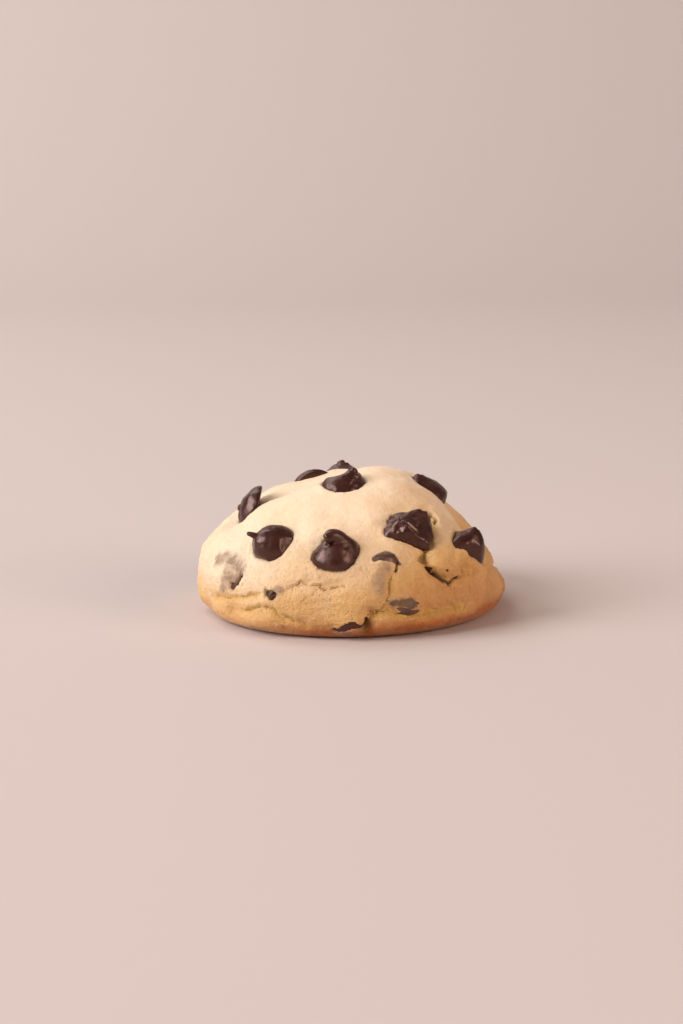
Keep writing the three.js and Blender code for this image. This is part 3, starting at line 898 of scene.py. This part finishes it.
def chip_profile(radius, height, style):
    """Radius and height of each ring of a chip from the middle of its foot to its tip."""
    height *= style.tall
    foot = [(radius * CHIP_FLAT * k / FOOT_STEPS, 0.0) for k in range(1, FOOT_STEPS)]

    def side_radius(share):
        fullness = 1 + (CHIP_BELLY + style.full) * math.sin(math.pi * share)
        dome = DOME_WIDE * math.sqrt(1 - share * share)
        return radius * ((1 - style.round) * (1 - share) * fullness + style.round * dome)

    edge_radius = side_radius(CHIP_EDGE)
    edge = []
    for k in range(EDGE_STEPS):
        angle = math.pi / 2 * k / EDGE_STEPS
        out = radius * CHIP_FLAT + (edge_radius - radius * CHIP_FLAT) * math.sin(angle)
        edge.append((out, height * CHIP_EDGE * (1 - math.cos(angle))))
    fine = np.linspace(CHIP_EDGE, SIDE_END, 20 * SIDE_STEPS)
    side_end = [share for share in fine if side_radius(share) >= style.nib_wide][-1]
    shares = CHIP_EDGE + (side_end - CHIP_EDGE) * np.sin(np.linspace(0, math.pi / 2, SIDE_STEPS))
    side = [(side_radius(share), height * share) for share in shares]
    for k in range(1, NIB_STEPS + 1):
        share = k / NIB_STEPS
        side.append((style.nib_wide * (1 - NIB_TAPER * share), height * side_end + style.nib * share))
    tip_radius, tip_height = side[-1]
    tip = []
    for k in range(1, TIP_STEPS):
        angle = math.pi / 2 * k / TIP_STEPS
        rise = TIP_ROUND * tip_radius * math.sin(angle)
        tip.append((tip_radius * math.cos(angle), tip_height + rise))
    end = (0.0, tip_height + TIP_ROUND * tip_radius)
    return np.array(foot + edge + side + tip), end


def bent_rings(profile, end, height, style, turns):
    """Rings of a chip's profile whose middle line bends over towards one side near the tip."""
    levels = np.append(profile[:, 1], end[1])
    start = style.curl_from * height
    bend = np.radians(style.curl) * smoothstep(levels, start, end[1])
    steps = np.diff(levels, prepend=0.0)
    across = np.cumsum(np.sin(bend) * steps)
    up = np.cumsum(np.cos(bend) * steps)
    lean = level_heading(style.curl_to)
    beside = level_heading(style.curl_to + 90)
    axis = np.array([0.0, 0.0, 1.0])
    angles = (turns - math.radians(style.curl_to))[:, None]
    rings = []
    for k, (out, _) in enumerate(profile):
        middle = across[k] * lean + up[k] * axis
        forward = math.cos(bend[k]) * lean - math.sin(bend[k]) * axis
        rings.append(middle + out * (np.cos(angles) * forward + np.sin(angles) * beside))
    return rings, across[-1] * lean + up[-1] * axis


def draw_flanges(points, flanges, radius):
    """Draws a chip's foot out at each flange."""
    turns = np.degrees(np.arctan2(points[:, 1], points[:, 0]))
    low = bell(points[:, 2], FLANGE_HIGH)
    for turn, reach in flanges:
        apart = (turns - turn + 180) % 360 - 180
        begun = smoothstep(np.hypot(points[:, 0], points[:, 1]), *FLANGE_FROM)
        push = reach * bell(apart, FLANGE_TURN) * low * begun
        points[:, :2] *= 1 + (push / radius)[:, None]


def press_dents(points, dents, radius, height):
    """Presses a chip's dents in and its bulges out."""
    for turn, share, spread, depth in dents:
        out = radius * (1 - share) * (1 + CHIP_BELLY * math.sin(math.pi * share))
        centre = out * level_heading(turn) + np.array([0, 0, height * share])
        push = depth * unit(level_heading(turn) + DENT_RISE)
        points -= lump(points, centre, spread)[:, None] * push


def break_faces(points, breaks, middle):
    """Flattens what lies beyond each broken face of a chip."""
    for turn, rise, distance in breaks:
        facing = math.cos(math.radians(rise)) * level_heading(turn)
        facing[2] = math.sin(math.radians(rise))
        over = np.maximum((points - middle) @ facing - distance, 0) * (1 - BREAK_KEEP)
        points -= over[:, None] * facing


def shape_chip(points, style, radius, height):
    """Gives a chip's points, in its own frame, all that its style sets it apart by."""
    draw_flanges(points, style.flanges, radius)
    press_dents(points, style.dents, radius, height)
    if style.ring:
        groove = bell(np.linalg.norm(points - points[-1], axis=1) - RING_OUT, RING_WIDE)
        inwards = unit(np.array([0, 0, RING_MIDDLE * height]) - points)
        points += style.ring * groove[:, None] * inwards
    middle = np.array([0, 0, MIDDLE_AT * height])
    break_faces(points, style.breaks, middle)
    bumps = ragged_noise(points + RUGGED_SHIFT, *RUGGED_NOISE, 65)
    points += style.rugged * bumps[:, None] * unit(points - middle)
    points[:, 1] *= style.squash


def scrape_mask(points, scrape):
    """Where a pale scrape marks the upper side of a chip, in the chip's own frame."""
    start, end = np.array(scrape[:2]), np.array(scrape[2:])
    along = np.clip((points[:, :2] - start) @ (end - start) / ((end - start) ** 2).sum(), 0, 1)
    gap = np.linalg.norm(points[:, :2] - start - along[:, None] * (end - start), axis=1)
    return fall(gap, 0.3 * SCRAPE_HALF, SCRAPE_HALF) * (points[:, 2] > SCRAPE_ABOVE)


def chip_style(node):
    """The style of a chip, or a plain one whose tip leans its own way."""
    if node in CHIP_STYLES:
        return CHIP_STYLES[node]
    turn = STYLE_TURN * CHIP_NODES.index(node)
    return ChipStyle(
        curl=PLAIN_CURL[0] + PLAIN_CURL[1] * abs(math.sin(turn)),
        curl_to=turn % 360,
        nib=PLAIN_NIB[0] + PLAIN_NIB[1] * abs(math.cos(turn)),
        nib_wide=PLAIN_NIB_WIDE,
        dents=((turn % 360 + PLAIN_DENT[0], *PLAIN_DENT[1:]),),
        rugged=PLAIN_RUGGED,
    )


def chip_object(node, sides):
    """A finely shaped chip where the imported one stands."""
    middle, axes, radius, height = chip_pose(node)
    style = chip_style(node)
    profile, end = chip_profile(radius, height, style)
    turns = 2 * math.pi * np.arange(sides) / sides
    rings, tip = bent_rings(profile, end, height, style, turns)
    points = np.concatenate([[[0.0, 0.0, 0.0]], *rings, [tip]])
    shape_chip(points, style, radius, height)
    grid = 1 + np.arange(len(rings) * sides).reshape(len(rings), sides)
    beside = np.roll(grid, -1, axis=1)
    faces = [(0, int(b), int(a)) for a, b in zip(grid[0], beside[0])]
    quads = np.stack([grid[:-1], beside[:-1], beside[1:], grid[1:]], axis=-1).reshape(-1, 4)
    faces += quads.tolist()
    top = len(points) - 1
    faces += [(int(a), int(b), top) for a, b in zip(grid[-1], beside[-1])]
    placed = middle + points @ axes
    uneven = SMEAR_UNEVEN * ragged_noise(placed, *SMEAR_NOISE, 61)
    film = np.clip(style.film * (1 + uneven), 0, 1)
    if style.scrape:
        film = np.maximum(film, scrape_mask(points, style.scrape))
    return make_mesh_object(piece_name(node), placed, faces, {"film": film})


def fill_inputs(tree, node, inputs):
    """Gives a node's inputs their values, or links them to other nodes' outputs."""
    for key, value in inputs.items():
        if isinstance(value, bpy.types.NodeSocket):
            tree.links.new(value, node.inputs[key])
        else:
            node.inputs[key].default_value = value


def add_node(tree, kind, inputs=None, **settings):
    """A new node with its settings and inputs."""
    node = tree.nodes.new(kind)
    for name, value in settings.items():
        setattr(node, name, value)
    fill_inputs(tree, node, inputs or {})
    return node


def math_node(tree, operation, first, second=0.0, clamp=False):
    """The result of a Math node."""
    inputs = {0: first, 1: second}
    return add_node(tree, "ShaderNodeMath", inputs, operation=operation, use_clamp=clamp).outputs[0]


def product(tree, first, second):
    """One value times another."""
    return math_node(tree, "MULTIPLY", first, second)


def ramp_node(tree, value, low, high, start=0.0, end=1.0):
    """A smooth change from start to end as value goes from low to high."""
    inputs = {"Value": value, "From Min": low, "From Max": high, "To Min": start, "To Max": end}
    return add_node(tree, "ShaderNodeMapRange", inputs, interpolation_type="SMOOTHSTEP").outputs["Result"]


def mix_colour(tree, factor, first, second):
    """The mix of two colours."""
    inputs = {0: factor, 6: first, 7: second}
    return add_node(tree, "ShaderNodeMix", inputs, data_type="RGBA").outputs[2]


def add_sockets(tree, direction, sockets):
    """Named sockets on a node group, as (name, kind, default or None)."""
    for name, kind, default in sockets:
        socket = tree.interface.new_socket(name=name, in_out=direction, socket_type=kind)
        if default is not None:
            socket.default_value = default


def noise_height(tree, position, size, height, seed, detail=2.0):
    """Noise of a size in metres that rises and falls by a height."""
    scale = math_node(tree, "DIVIDE", 1.0, size)
    inputs = {"Vector": position, "W": seed, "Scale": scale, "Detail": detail, "Roughness": 0.55}
    noise = add_node(tree, "ShaderNodeTexNoise", inputs, noise_dimensions="4D").outputs["Fac"]
    centred = math_node(tree, "SUBTRACT", noise, 0.5)
    return product(tree, centred, product(tree, height, 2.0))


def start_tree(name, sockets):
    """A new geometry tree with its inputs, and its group input and output nodes."""
    tree = bpy.data.node_groups.new(name, "GeometryNodeTree")
    add_sockets(tree, "INPUT", [("Geometry", "NodeSocketGeometry", None), *sockets])
    add_sockets(tree, "OUTPUT", [("Geometry", "NodeSocketGeometry", None)])
    return tree, tree.nodes.new("NodeGroupInput"), tree.nodes.new("NodeGroupOutput")


def end_tree(tree, geometry, material, output):
    """Realizes what the tree made and gives it its material."""
    realized = add_node(tree, "GeometryNodeRealizeInstances", {"Geometry": geometry})
    inputs = {"Geometry": realized.outputs[0], "Material": material}
    dressed = add_node(tree, "GeometryNodeSetMaterial", inputs)
    tree.links.new(dressed.outputs[0], output.inputs[0])


def lift_along_normal(tree, geometry, height):
    """The geometry with its points moved along their normals by a height."""
    normal = tree.nodes.new("GeometryNodeInputNormal").outputs[0]
    offset = add_node(tree, "ShaderNodeVectorMath", {0: normal, "Scale": height}, operation="SCALE")
    inputs = {"Geometry": geometry, "Offset": offset.outputs[0]}
    return add_node(tree, "GeometryNodeSetPosition", inputs).outputs[0]


def named_value(tree, name):
    """A value that the mesh holds for each vertex."""
    node = add_node(tree, "GeometryNodeInputNamedAttribute", {"Name": name}, data_type="FLOAT")
    return node.outputs["Attribute"]


def dough_skin_tree():
    """Geometry nodes for the skin: slow unevenness, grain, level strata and small pits."""
    tree, given, output = start_tree(
        "dough_skin",
        [
            ("Broad Size", FLOAT, 0.006),
            ("Broad Height", FLOAT, None),
            ("Grain Size", FLOAT, 0.0016),
            ("Grain Height", FLOAT, None),
            ("Strata Size", FLOAT, 0.0042),
            ("Strata Height", FLOAT, None),
            ("Pore Size", FLOAT, 0.0021),
            ("Pore Depth", FLOAT, None),
            ("Seed", FLOAT, None),
            ("Material", "NodeSocketMaterial", None),
        ],
    )
    sizes = given.outputs
    position = tree.nodes.new("GeometryNodeInputPosition").outputs[0]
    seed = sizes["Seed"]
    broad = noise_height(tree, position, sizes["Broad Size"], sizes["Broad Height"], seed, 1.0)
    grain = noise_height(tree, position, sizes["Grain Size"], sizes["Grain Height"], seed, 3.0)
    levelled = add_node(
        tree, "ShaderNodeVectorMath", {0: position, 1: STRATA_STRETCH}, operation="MULTIPLY"
    ).outputs[0]
    strata = noise_height(tree, levelled, sizes["Strata Size"], sizes["Strata Height"], seed, 2.0)
    scale = math_node(tree, "DIVIDE", 1.0, sizes["Pore Size"])
    inputs = {"Vector": position, "W": seed, "Scale": scale}
    cells = add_node(tree, "ShaderNodeTexVoronoi", inputs, voronoi_dimensions="4D").outputs
    chosen = add_node(tree, "FunctionNodeSeparateColor", {"Color": cells["Color"]}).outputs[0]
    present = ramp_node(tree, chosen, 0.55, 0.75)
    hollow = ramp_node(tree, cells["Distance"], 0.1, 0.34, 1.0, 0.0)
    pit = product(tree, product(tree, hollow, present), sizes["Pore Depth"])
    fine = math_node(tree, "SUBTRACT", math_node(tree, "ADD", grain, strata), pit)
    height = math_node(tree, "ADD", broad, product(tree, fine, named_value(tree, "rough")))
    height = product(tree, height, named_value(tree, "fade"))
    lifted = lift_along_normal(tree, given.outputs["Geometry"], height)
    end_tree(tree, lifted, given.outputs["Material"], output)
    return tree


def chip_skin_tree():
    """Geometry nodes for a chip: slow unevenness and a fine skin."""
    tree, given, output = start_tree(
        "chip_skin",
        [
            ("Wave Size", FLOAT, 0.0045),
            ("Wave Height", FLOAT, None),
            ("Skin Size", FLOAT, 0.0012),
            ("Skin Height", FLOAT, None),
            ("Seed", FLOAT, None),
            ("Material", "NodeSocketMaterial", None),
        ],
    )
    sizes = given.outputs
    position = tree.nodes.new("GeometryNodeInputPosition").outputs[0]
    wave = noise_height(tree, position, sizes["Wave Size"], sizes["Wave Height"], sizes["Seed"], 1.0)
    skin = noise_height(tree, position, sizes["Skin Size"], sizes["Skin Height"], sizes["Seed"], 2.0)
    lifted = lift_along_normal(tree, given.outputs["Geometry"], math_node(tree, "ADD", wave, skin))
    end_tree(tree, lifted, given.outputs["Material"], output)
    return tree


def random_vector(tree, low, high, seed):
    """A vector between two others for each point."""
    inputs = {0: low, 1: high, "Seed": seed}
    return add_node(tree, "FunctionNodeRandomValue", inputs, data_type="FLOAT_VECTOR").outputs[0]


def crumb_tree():
    """Geometry nodes that scatter small uneven balls where the skin is crumbly."""
    tree, given, output = start_tree(
        "crumbs",
        [
            ("Density", FLOAT, None),
            ("Crumb Size", FLOAT, None),
            ("Seed", "NodeSocketInt", None),
            ("Material", "NodeSocketMaterial", None),
        ],
    )
    given = given.outputs
    crumbly = math_node(tree, "POWER", named_value(tree, "crumbly"), 2.0)
    inputs = {
        "Mesh": given["Geometry"],
        "Density": product(tree, crumbly, given["Density"]),
        "Seed": given["Seed"],
    }
    points = add_node(tree, "GeometryNodeDistributePointsOnFaces", inputs)
    inputs = {"Radius": given["Crumb Size"], "Subdivisions": 2}
    ball = add_node(tree, "GeometryNodeMeshIcoSphere", inputs)
    turn = random_vector(tree, (0.0, 0.0, 0.0), CRUMB_TURNS, given["Seed"])
    stretch = random_vector(tree, *CRUMB_STRETCH, given["Seed"])
    placed = add_node(
        tree,
        "GeometryNodeInstanceOnPoints",
        {
            "Points": points.outputs["Points"],
            "Instance": ball.outputs["Mesh"],
            "Rotation": turn,
            "Scale": stretch,
        },
    )
    realized = add_node(tree, "GeometryNodeRealizeInstances", {"Geometry": placed.outputs[0]})
    smooth = add_node(tree, "GeometryNodeSetShadeSmooth", {"Geometry": realized.outputs[0]})
    end_tree(tree, smooth.outputs[0], given["Material"], output)
    return tree


def finish_with(made, tree, values):
    """Replaces an object's mesh by what a geometry tree makes of it with these named inputs."""
    modifier = made.modifiers.new(tree.name, "NODES")
    modifier.node_group = tree
    items = tree.interface.items_tree
    sockets = {item.name: item.identifier for item in items if item.in_out == "INPUT"}
    for name, value in values.items():
        modifier[sockets[name]] = value
    graph = bpy.context.evaluated_depsgraph_get()
    finished = bpy.data.meshes.new_from_object(
        made.evaluated_get(graph), preserve_all_data_layers=True, depsgraph=graph
    )
    made.modifiers.remove(modifier)
    made.data = finished
    finished.name = made.name


def shader_group(name, inputs, outputs):
    """A new shader node group with its named sockets, and its group input and output nodes."""
    tree = bpy.data.node_groups.new(name, "ShaderNodeTree")
    add_sockets(tree, "INPUT", inputs)
    add_sockets(tree, "OUTPUT", outputs)
    return tree, tree.nodes.new("NodeGroupInput"), tree.nodes.new("NodeGroupOutput")


def mottle_group():
    """Patches from 0 to 1, of a size in metres."""
    tree, given, output = shader_group(
        "mottle",
        [("Vector", "NodeSocketVector", None), ("Size", FLOAT, None), ("Seed", FLOAT, None)],
        [("Patches", FLOAT, None)],
    )
    scale = math_node(tree, "DIVIDE", 1.0, given.outputs["Size"])
    inputs = {"Vector": given.outputs["Vector"], "W": given.outputs["Seed"], "Scale": scale, "Detail": 4.0}
    noise = add_node(tree, "ShaderNodeTexNoise", inputs, noise_dimensions="4D").outputs["Fac"]
    tree.links.new(ramp_node(tree, noise, 0.3, 0.7), output.inputs["Patches"])


def grain_group():
    """Height of a fine grain with pits, of a size in metres."""
    tree, given, output = shader_group(
        "grain",
        [("Vector", "NodeSocketVector", None), ("Size", FLOAT, None), ("Pits", FLOAT, None)],
        [("Height", FLOAT, None)],
    )
    vector = given.outputs["Vector"]
    scale = math_node(tree, "DIVIDE", 1.0, given.outputs["Size"])
    inputs = {"Vector": vector, "Scale": scale, "Detail": 5.0, "Roughness": 0.62}
    noise = add_node(tree, "ShaderNodeTexNoise", inputs).outputs["Fac"]
    inputs = {"Vector": vector, "Scale": product(tree, scale, 0.7)}
    cells = add_node(tree, "ShaderNodeTexVoronoi", inputs).outputs
    pit = ramp_node(tree, cells["Distance"], 0.05, 0.35, 1.0, 0.0)
    deep = product(tree, pit, given.outputs["Pits"])
    tree.links.new(math_node(tree, "SUBTRACT", noise, deep), output.inputs["Height"])


def use_group(tree, name, inputs):
    """What a placed node group puts out with its own values."""
    node = tree.nodes.new("ShaderNodeGroup")
    node.node_tree = bpy.data.node_groups[name]
    fill_inputs(tree, node, inputs)
    return node.outputs[0]


def mottled(tree, coordinates, size, seed):
    """Patches from 0 to 1, in a material."""
    return use_group(tree, "mottle", {"Vector": coordinates, "Size": size, "Seed": seed})


def grained(tree, coordinates, size, pits):
    """Height of a fine grain with pits, in a material."""
    return use_group(tree, "grain", {"Vector": coordinates, "Size": size, "Pits": pits})


def bump_normal(tree, height, strength, distance):
    """The normal of a skin that a height makes uneven."""
    inputs = {"Strength": strength, "Distance": distance, "Height": height}
    return add_node(tree, "ShaderNodeBump", inputs).outputs[0]


def vertex_value(tree, name):
    """A value that the mesh holds for each vertex, in a material."""
    return add_node(tree, "ShaderNodeAttribute", attribute_name=name).outputs["Fac"]


def start_material(name):
    """A new node material, its tree, its Principled shader and the object coordinates."""
    material = bpy.data.materials.new(name)
    material.use_nodes = True
    tree = material.node_tree
    shader = tree.nodes["Principled BSDF"]
    coordinates = tree.nodes.new("ShaderNodeTexCoord").outputs["Object"]
    return material, tree, shader, coordinates


def opaque(colour):
    """A colour with full alpha."""
    return (*colour, 1.0)


def dough_colour(tree, coordinates, settings, baked):
    """The baked colour from pale through golden to brown, with patches and fine speckle. The baked value
    also holds painted light on the left and painted shade on the right.
    """
    patches = math_node(tree, "SUBTRACT", mottled(tree, coordinates, 0.011, 2.0), 0.5)
    speckle = math_node(tree, "SUBTRACT", mottled(tree, coordinates, 0.0016, 5.0), 0.5)
    level = math_node(tree, "ADD", baked, product(tree, patches, 0.16))
    level = math_node(tree, "ADD", level, product(tree, speckle, 0.07), clamp=True)
    ramp = tree.nodes.new("ShaderNodeValToRGB")
    ramp.color_ramp.elements[0].color = opaque(settings.pale)
    ramp.color_ramp.elements[1].color = opaque(settings.browned)
    golden = ramp.color_ramp.elements.new(0.48)
    golden.color = opaque(settings.golden)
    tree.links.new(level, ramp.inputs["Fac"])
    return ramp.outputs["Color"]


def dough_material(settings):
    """Soft baked dough, with films, breaks darkened partly as painted shade, and chocolate stains that
    also paint shade in breaks and openings.
    """
    material, tree, shader, coordinates = start_material("baked_dough")
    streaks = mottled(tree, coordinates, 0.0022, 8.0)
    # breaks take a darker, more golden colour, partly inner dough and partly painted shade in the crease
    moist = product(tree, vertex_value(tree, "broken"), 0.65)
    filmed = product(tree, vertex_value(tree, "film"), ramp_node(tree, streaks, 0.0, 0.8, 0.3, 1.0))
    # the baked value holds browning, painted light on the left and painted shade on the right
    colour = dough_colour(tree, coordinates, settings, vertex_value(tree, "baked"))
    colour = mix_colour(tree, moist, colour, opaque(settings.inner))
    colour = mix_colour(tree, filmed, colour, opaque(settings.film))
    # the stain colour also paints shade in breaks and openings
    colour = mix_colour(tree, vertex_value(tree, "stain"), colour, opaque(settings.stain))
    level = product(tree, grained(tree, coordinates, 0.00075, 0.35), vertex_value(tree, "rough"))
    values = {
        "Base Color": colour,
        "Roughness": ramp_node(tree, streaks, 0.0, 1.0, 0.58, 0.74),
        "Normal": bump_normal(tree, level, 1.0, 0.0005),
        "Subsurface Weight": 0.1,
        "Subsurface Radius": (1.0, 0.55, 0.25),
        "Subsurface Scale": 0.0014,
        "Specular IOR Level": 0.35,
        "Sheen Weight": 0.22,
        "Sheen Roughness": 0.4,
    }
    fill_inputs(tree, shader, values)
    return material


def crumb_material(settings):
    """Loose crumbs: golden dough, paler in places."""
    material, tree, shader, coordinates = start_material("loose_crumbs")
    patches = mottled(tree, coordinates, 0.0009, 3.0)
    grain = grained(tree, coordinates, 0.0003, 0.2)
    values = {
        "Base Color": mix_colour(tree, patches, opaque(settings.golden), opaque(settings.pale)),
        "Roughness": 0.7,
        "Normal": bump_normal(tree, grain, 0.4, 0.0001),
        "Specular IOR Level": 0.35,
    }
    fill_inputs(tree, shader, values)
    return material


def chocolate_material(settings):
    """Dark chocolate with a satin skin, dull patches, and dough smeared over it in places."""
    material, tree, shader, coordinates = start_material("satin_chocolate")
    patches = mottled(tree, coordinates, 0.0042, 1.0)
    specks = mottled(tree, coordinates, 0.0008, 6.0)
    film = vertex_value(tree, "film")
    dull = product(tree, patches, ramp_node(tree, specks, 0.0, 1.0, 0.25, 0.5))
    smeared = product(tree, film, ramp_node(tree, specks, 0.0, 0.8, 0.7, 1.0))
    colour = mix_colour(tree, dull, opaque(settings.chocolate), opaque(settings.bloom))
    rough = ramp_node(tree, patches, 0.0, 1.0, 0.26, 0.38)
    grain = grained(tree, coordinates, 0.0009, 0.25)
    values = {
        "Base Color": mix_colour(tree, smeared, colour, opaque(settings.smear)),
        "Roughness": math_node(tree, "ADD", rough, product(tree, film, 0.2), clamp=True),
        "Normal": bump_normal(tree, grain, 0.3, 0.00012),
        "Specular IOR Level": 0.7,
        "Specular Tint": (1.0, 0.72, 0.66, 1.0),
    }
    fill_inputs(tree, shader, values)
    return material


def area_light(name, place, size, power, colour):
    """A soft square light at a place, turned towards the cookie."""
    light = bpy.data.lights.new(name, "AREA")
    light.shape = "SQUARE"
    light.size = size
    light.energy = power
    light.color = colour
    made = bpy.data.objects.new(name, light)
    made.location = place
    made.rotation_mode = "QUATERNION"
    made.rotation_quaternion = (LIT_POINT - Vector(place)).to_track_quat("-Z", "Y")
    bpy.context.scene.collection.objects.link(made)


def backdrop_object(colour):
    """A floor that curves up into a backdrop behind the cookie."""
    outline = [(FLOOR_FRONT, 0.0)]
    for k in range(FLOOR_STEPS + 1):
        angle = math.pi / 2 * k / FLOOR_STEPS
        along = FLOOR_BACK + FLOOR_BEND * math.sin(angle)
        outline.append((along, FLOOR_BEND * (1 - math.cos(angle))))
    outline.append((FLOOR_BACK + FLOOR_BEND, FLOOR_TOP))
    sides = (-FLOOR_HALF, FLOOR_HALF)
    points = np.array([(x, y, z - FLOOR_DROP) for y, z in outline for x in sides]) / MM
    faces = [(2 * k, 2 * k + 1, 2 * k + 3, 2 * k + 2) for k in range(len(outline) - 1)]
    made = make_mesh_object("backdrop", points, faces, {})
    material, tree, shader, _ = start_material("pale_backdrop")
    values = {"Base Color": opaque(colour), "Roughness": 0.9, "Specular IOR Level": 0.1}
    fill_inputs(tree, shader, values)
    made.data.materials.append(material)
    return made


def set_surroundings(strength):
    """Even light from all round."""
    world = bpy.data.worlds.new("surroundings")
    world.use_nodes = True
    background = world.node_tree.nodes["Background"]
    background.inputs["Color"].default_value = WORLD_COLOUR
    background.inputs["Strength"].default_value = strength
    bpy.context.scene.world = world


def camera_object(settings):
    """The camera, at the photograph's angle."""
    camera_data = bpy.data.cameras.new("camera")
    camera_data.lens = settings.lens
    camera_data.sensor_width = SENSOR
    camera = bpy.data.objects.new("camera", camera_data)
    back = Vector((0, -math.cos(settings.elevation), math.sin(settings.elevation)))
    camera.location = AIM + back * settings.distance
    camera.rotation_mode = "QUATERNION"
    level = (-back).to_track_quat("-Z", "Y")
    camera.rotation_quaternion = level @ Quaternion((0, 0, 1), settings.roll)
    bpy.context.scene.collection.objects.link(camera)
    return camera


class CookieStage(bpy.types.Operator):
    """Makes the floor, the lights and the camera."""

    bl_idname = "cookie.stage"
    bl_label = "Stage"

    def execute(self, context):
        scene = context.scene
        settings = scene.cookie_stage
        for old in [o for o in bpy.data.objects if o.name in ("Cube", "Light", "Camera")]:
            bpy.data.objects.remove(old)
        backdrop_object(settings.backdrop)
        for name, (place, size, colour) in LIGHTS.items():
            area_light(name, place, size, getattr(settings, name), colour)
        set_surroundings(settings.world)
        scene.view_settings.view_transform = "Standard"
        scene.camera = camera_object(settings)
        return {"FINISHED"}


class CookieChips(bpy.types.Operator):
    """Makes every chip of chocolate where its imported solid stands."""

    bl_idname = "cookie.chips"
    bl_label = "Chips"

    def execute(self, context):
        settings = context.scene.cookie_chips
        material = chocolate_material(settings)
        tree = chip_skin_tree()
        for index, node in enumerate(CHIP_NODES):
            made = chip_object(node, settings.sides)
            values = {
                "Wave Height": settings.wave,
                "Skin Height": settings.skin,
                "Seed": float(index),
                "Material": material,
            }
            finish_with(made, tree, values)
            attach(made, "root")
            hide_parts(node)
        return {"FINISHED"}


class CookieDough(bpy.types.Operator):
    """Makes the dough with its relief, its breaks and the way that it meets the chips."""

    bl_idname = "cookie.dough"
    bl_label = "Dough"

    def execute(self, context):
        settings = context.scene.cookie_dough
        made = dough_object("dough_finish")
        values = {
            "Broad Height": settings.broad,
            "Grain Height": settings.grain,
            "Strata Height": settings.strata,
            "Pore Depth": settings.pores,
            "Seed": 3.0,
            "Material": dough_material(settings),
        }
        finish_with(made, dough_skin_tree(), values)
        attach(made, "root")
        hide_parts("dough")
        return {"FINISHED"}


class CookieCrumbs(bpy.types.Operator):
    """Scatters crumbs along the breaks of the dough."""

    bl_idname = "cookie.crumbs"
    bl_label = "Crumbs"

    def execute(self, context):
        settings = context.scene.cookie_crumbs
        dough = bpy.data.objects["dough_finish"]
        made = bpy.data.objects.new("crumbs", dough.data.copy())
        context.scene.collection.objects.link(made)
        values = {
            "Density": settings.density,
            "Crumb Size": settings.size,
            "Seed": settings.seed,
            "Material": crumb_material(context.scene.cookie_dough),
        }
        finish_with(made, crumb_tree(), values)
        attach(made, "root")
        return {"FINISHED"}


class CookiePanel(bpy.types.Panel):
    """Lists the cookie's pieces and their settings."""

    bl_idname = "VIEW3D_PT_cookie"
    bl_label = "Cookie"
    bl_space_type = "VIEW_3D"
    bl_region_type = "UI"
    bl_category = "Cookie"

    def draw(self, context):
        for operator, group in PIECES:
            box = self.layout.box()
            box.operator(operator.bl_idname)
            settings = getattr(context.scene, group)
            for name in settings.bl_rna.properties.keys():
                if name not in ("rna_type", "name"):
                    box.prop(settings, name)


PIECES = (
    (CookieStage, "cookie_stage"),
    (CookieChips, "cookie_chips"),
    (CookieDough, "cookie_dough"),
    (CookieCrumbs, "cookie_crumbs"),
)
SETTINGS = {
    "cookie_stage": StageSettings,
    "cookie_chips": ChipSettings,
    "cookie_dough": DoughSettings,
    "cookie_crumbs": CrumbSettings,
}


def register():
    for name, group in SETTINGS.items():
        bpy.utils.register_class(group)
        setattr(bpy.types.Scene, name, PointerProperty(type=group))
    for operator, _ in PIECES:
        bpy.utils.register_class(operator)
    bpy.utils.register_class(CookiePanel)


def unregister():
    bpy.utils.unregister_class(CookiePanel)
    for operator, _ in reversed(PIECES):
        bpy.utils.unregister_class(operator)
    for name, group in SETTINGS.items():
        delattr(bpy.types.Scene, name)
        bpy.utils.unregister_class(group)


def main():
    """Registers the add-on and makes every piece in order."""
    register()
    mottle_group()
    grain_group()
    bpy.ops.cookie.stage()
    bpy.ops.cookie.chips()
    bpy.ops.cookie.dough()
    bpy.ops.cookie.crumbs()


if __name__ == "__main__":
    main()
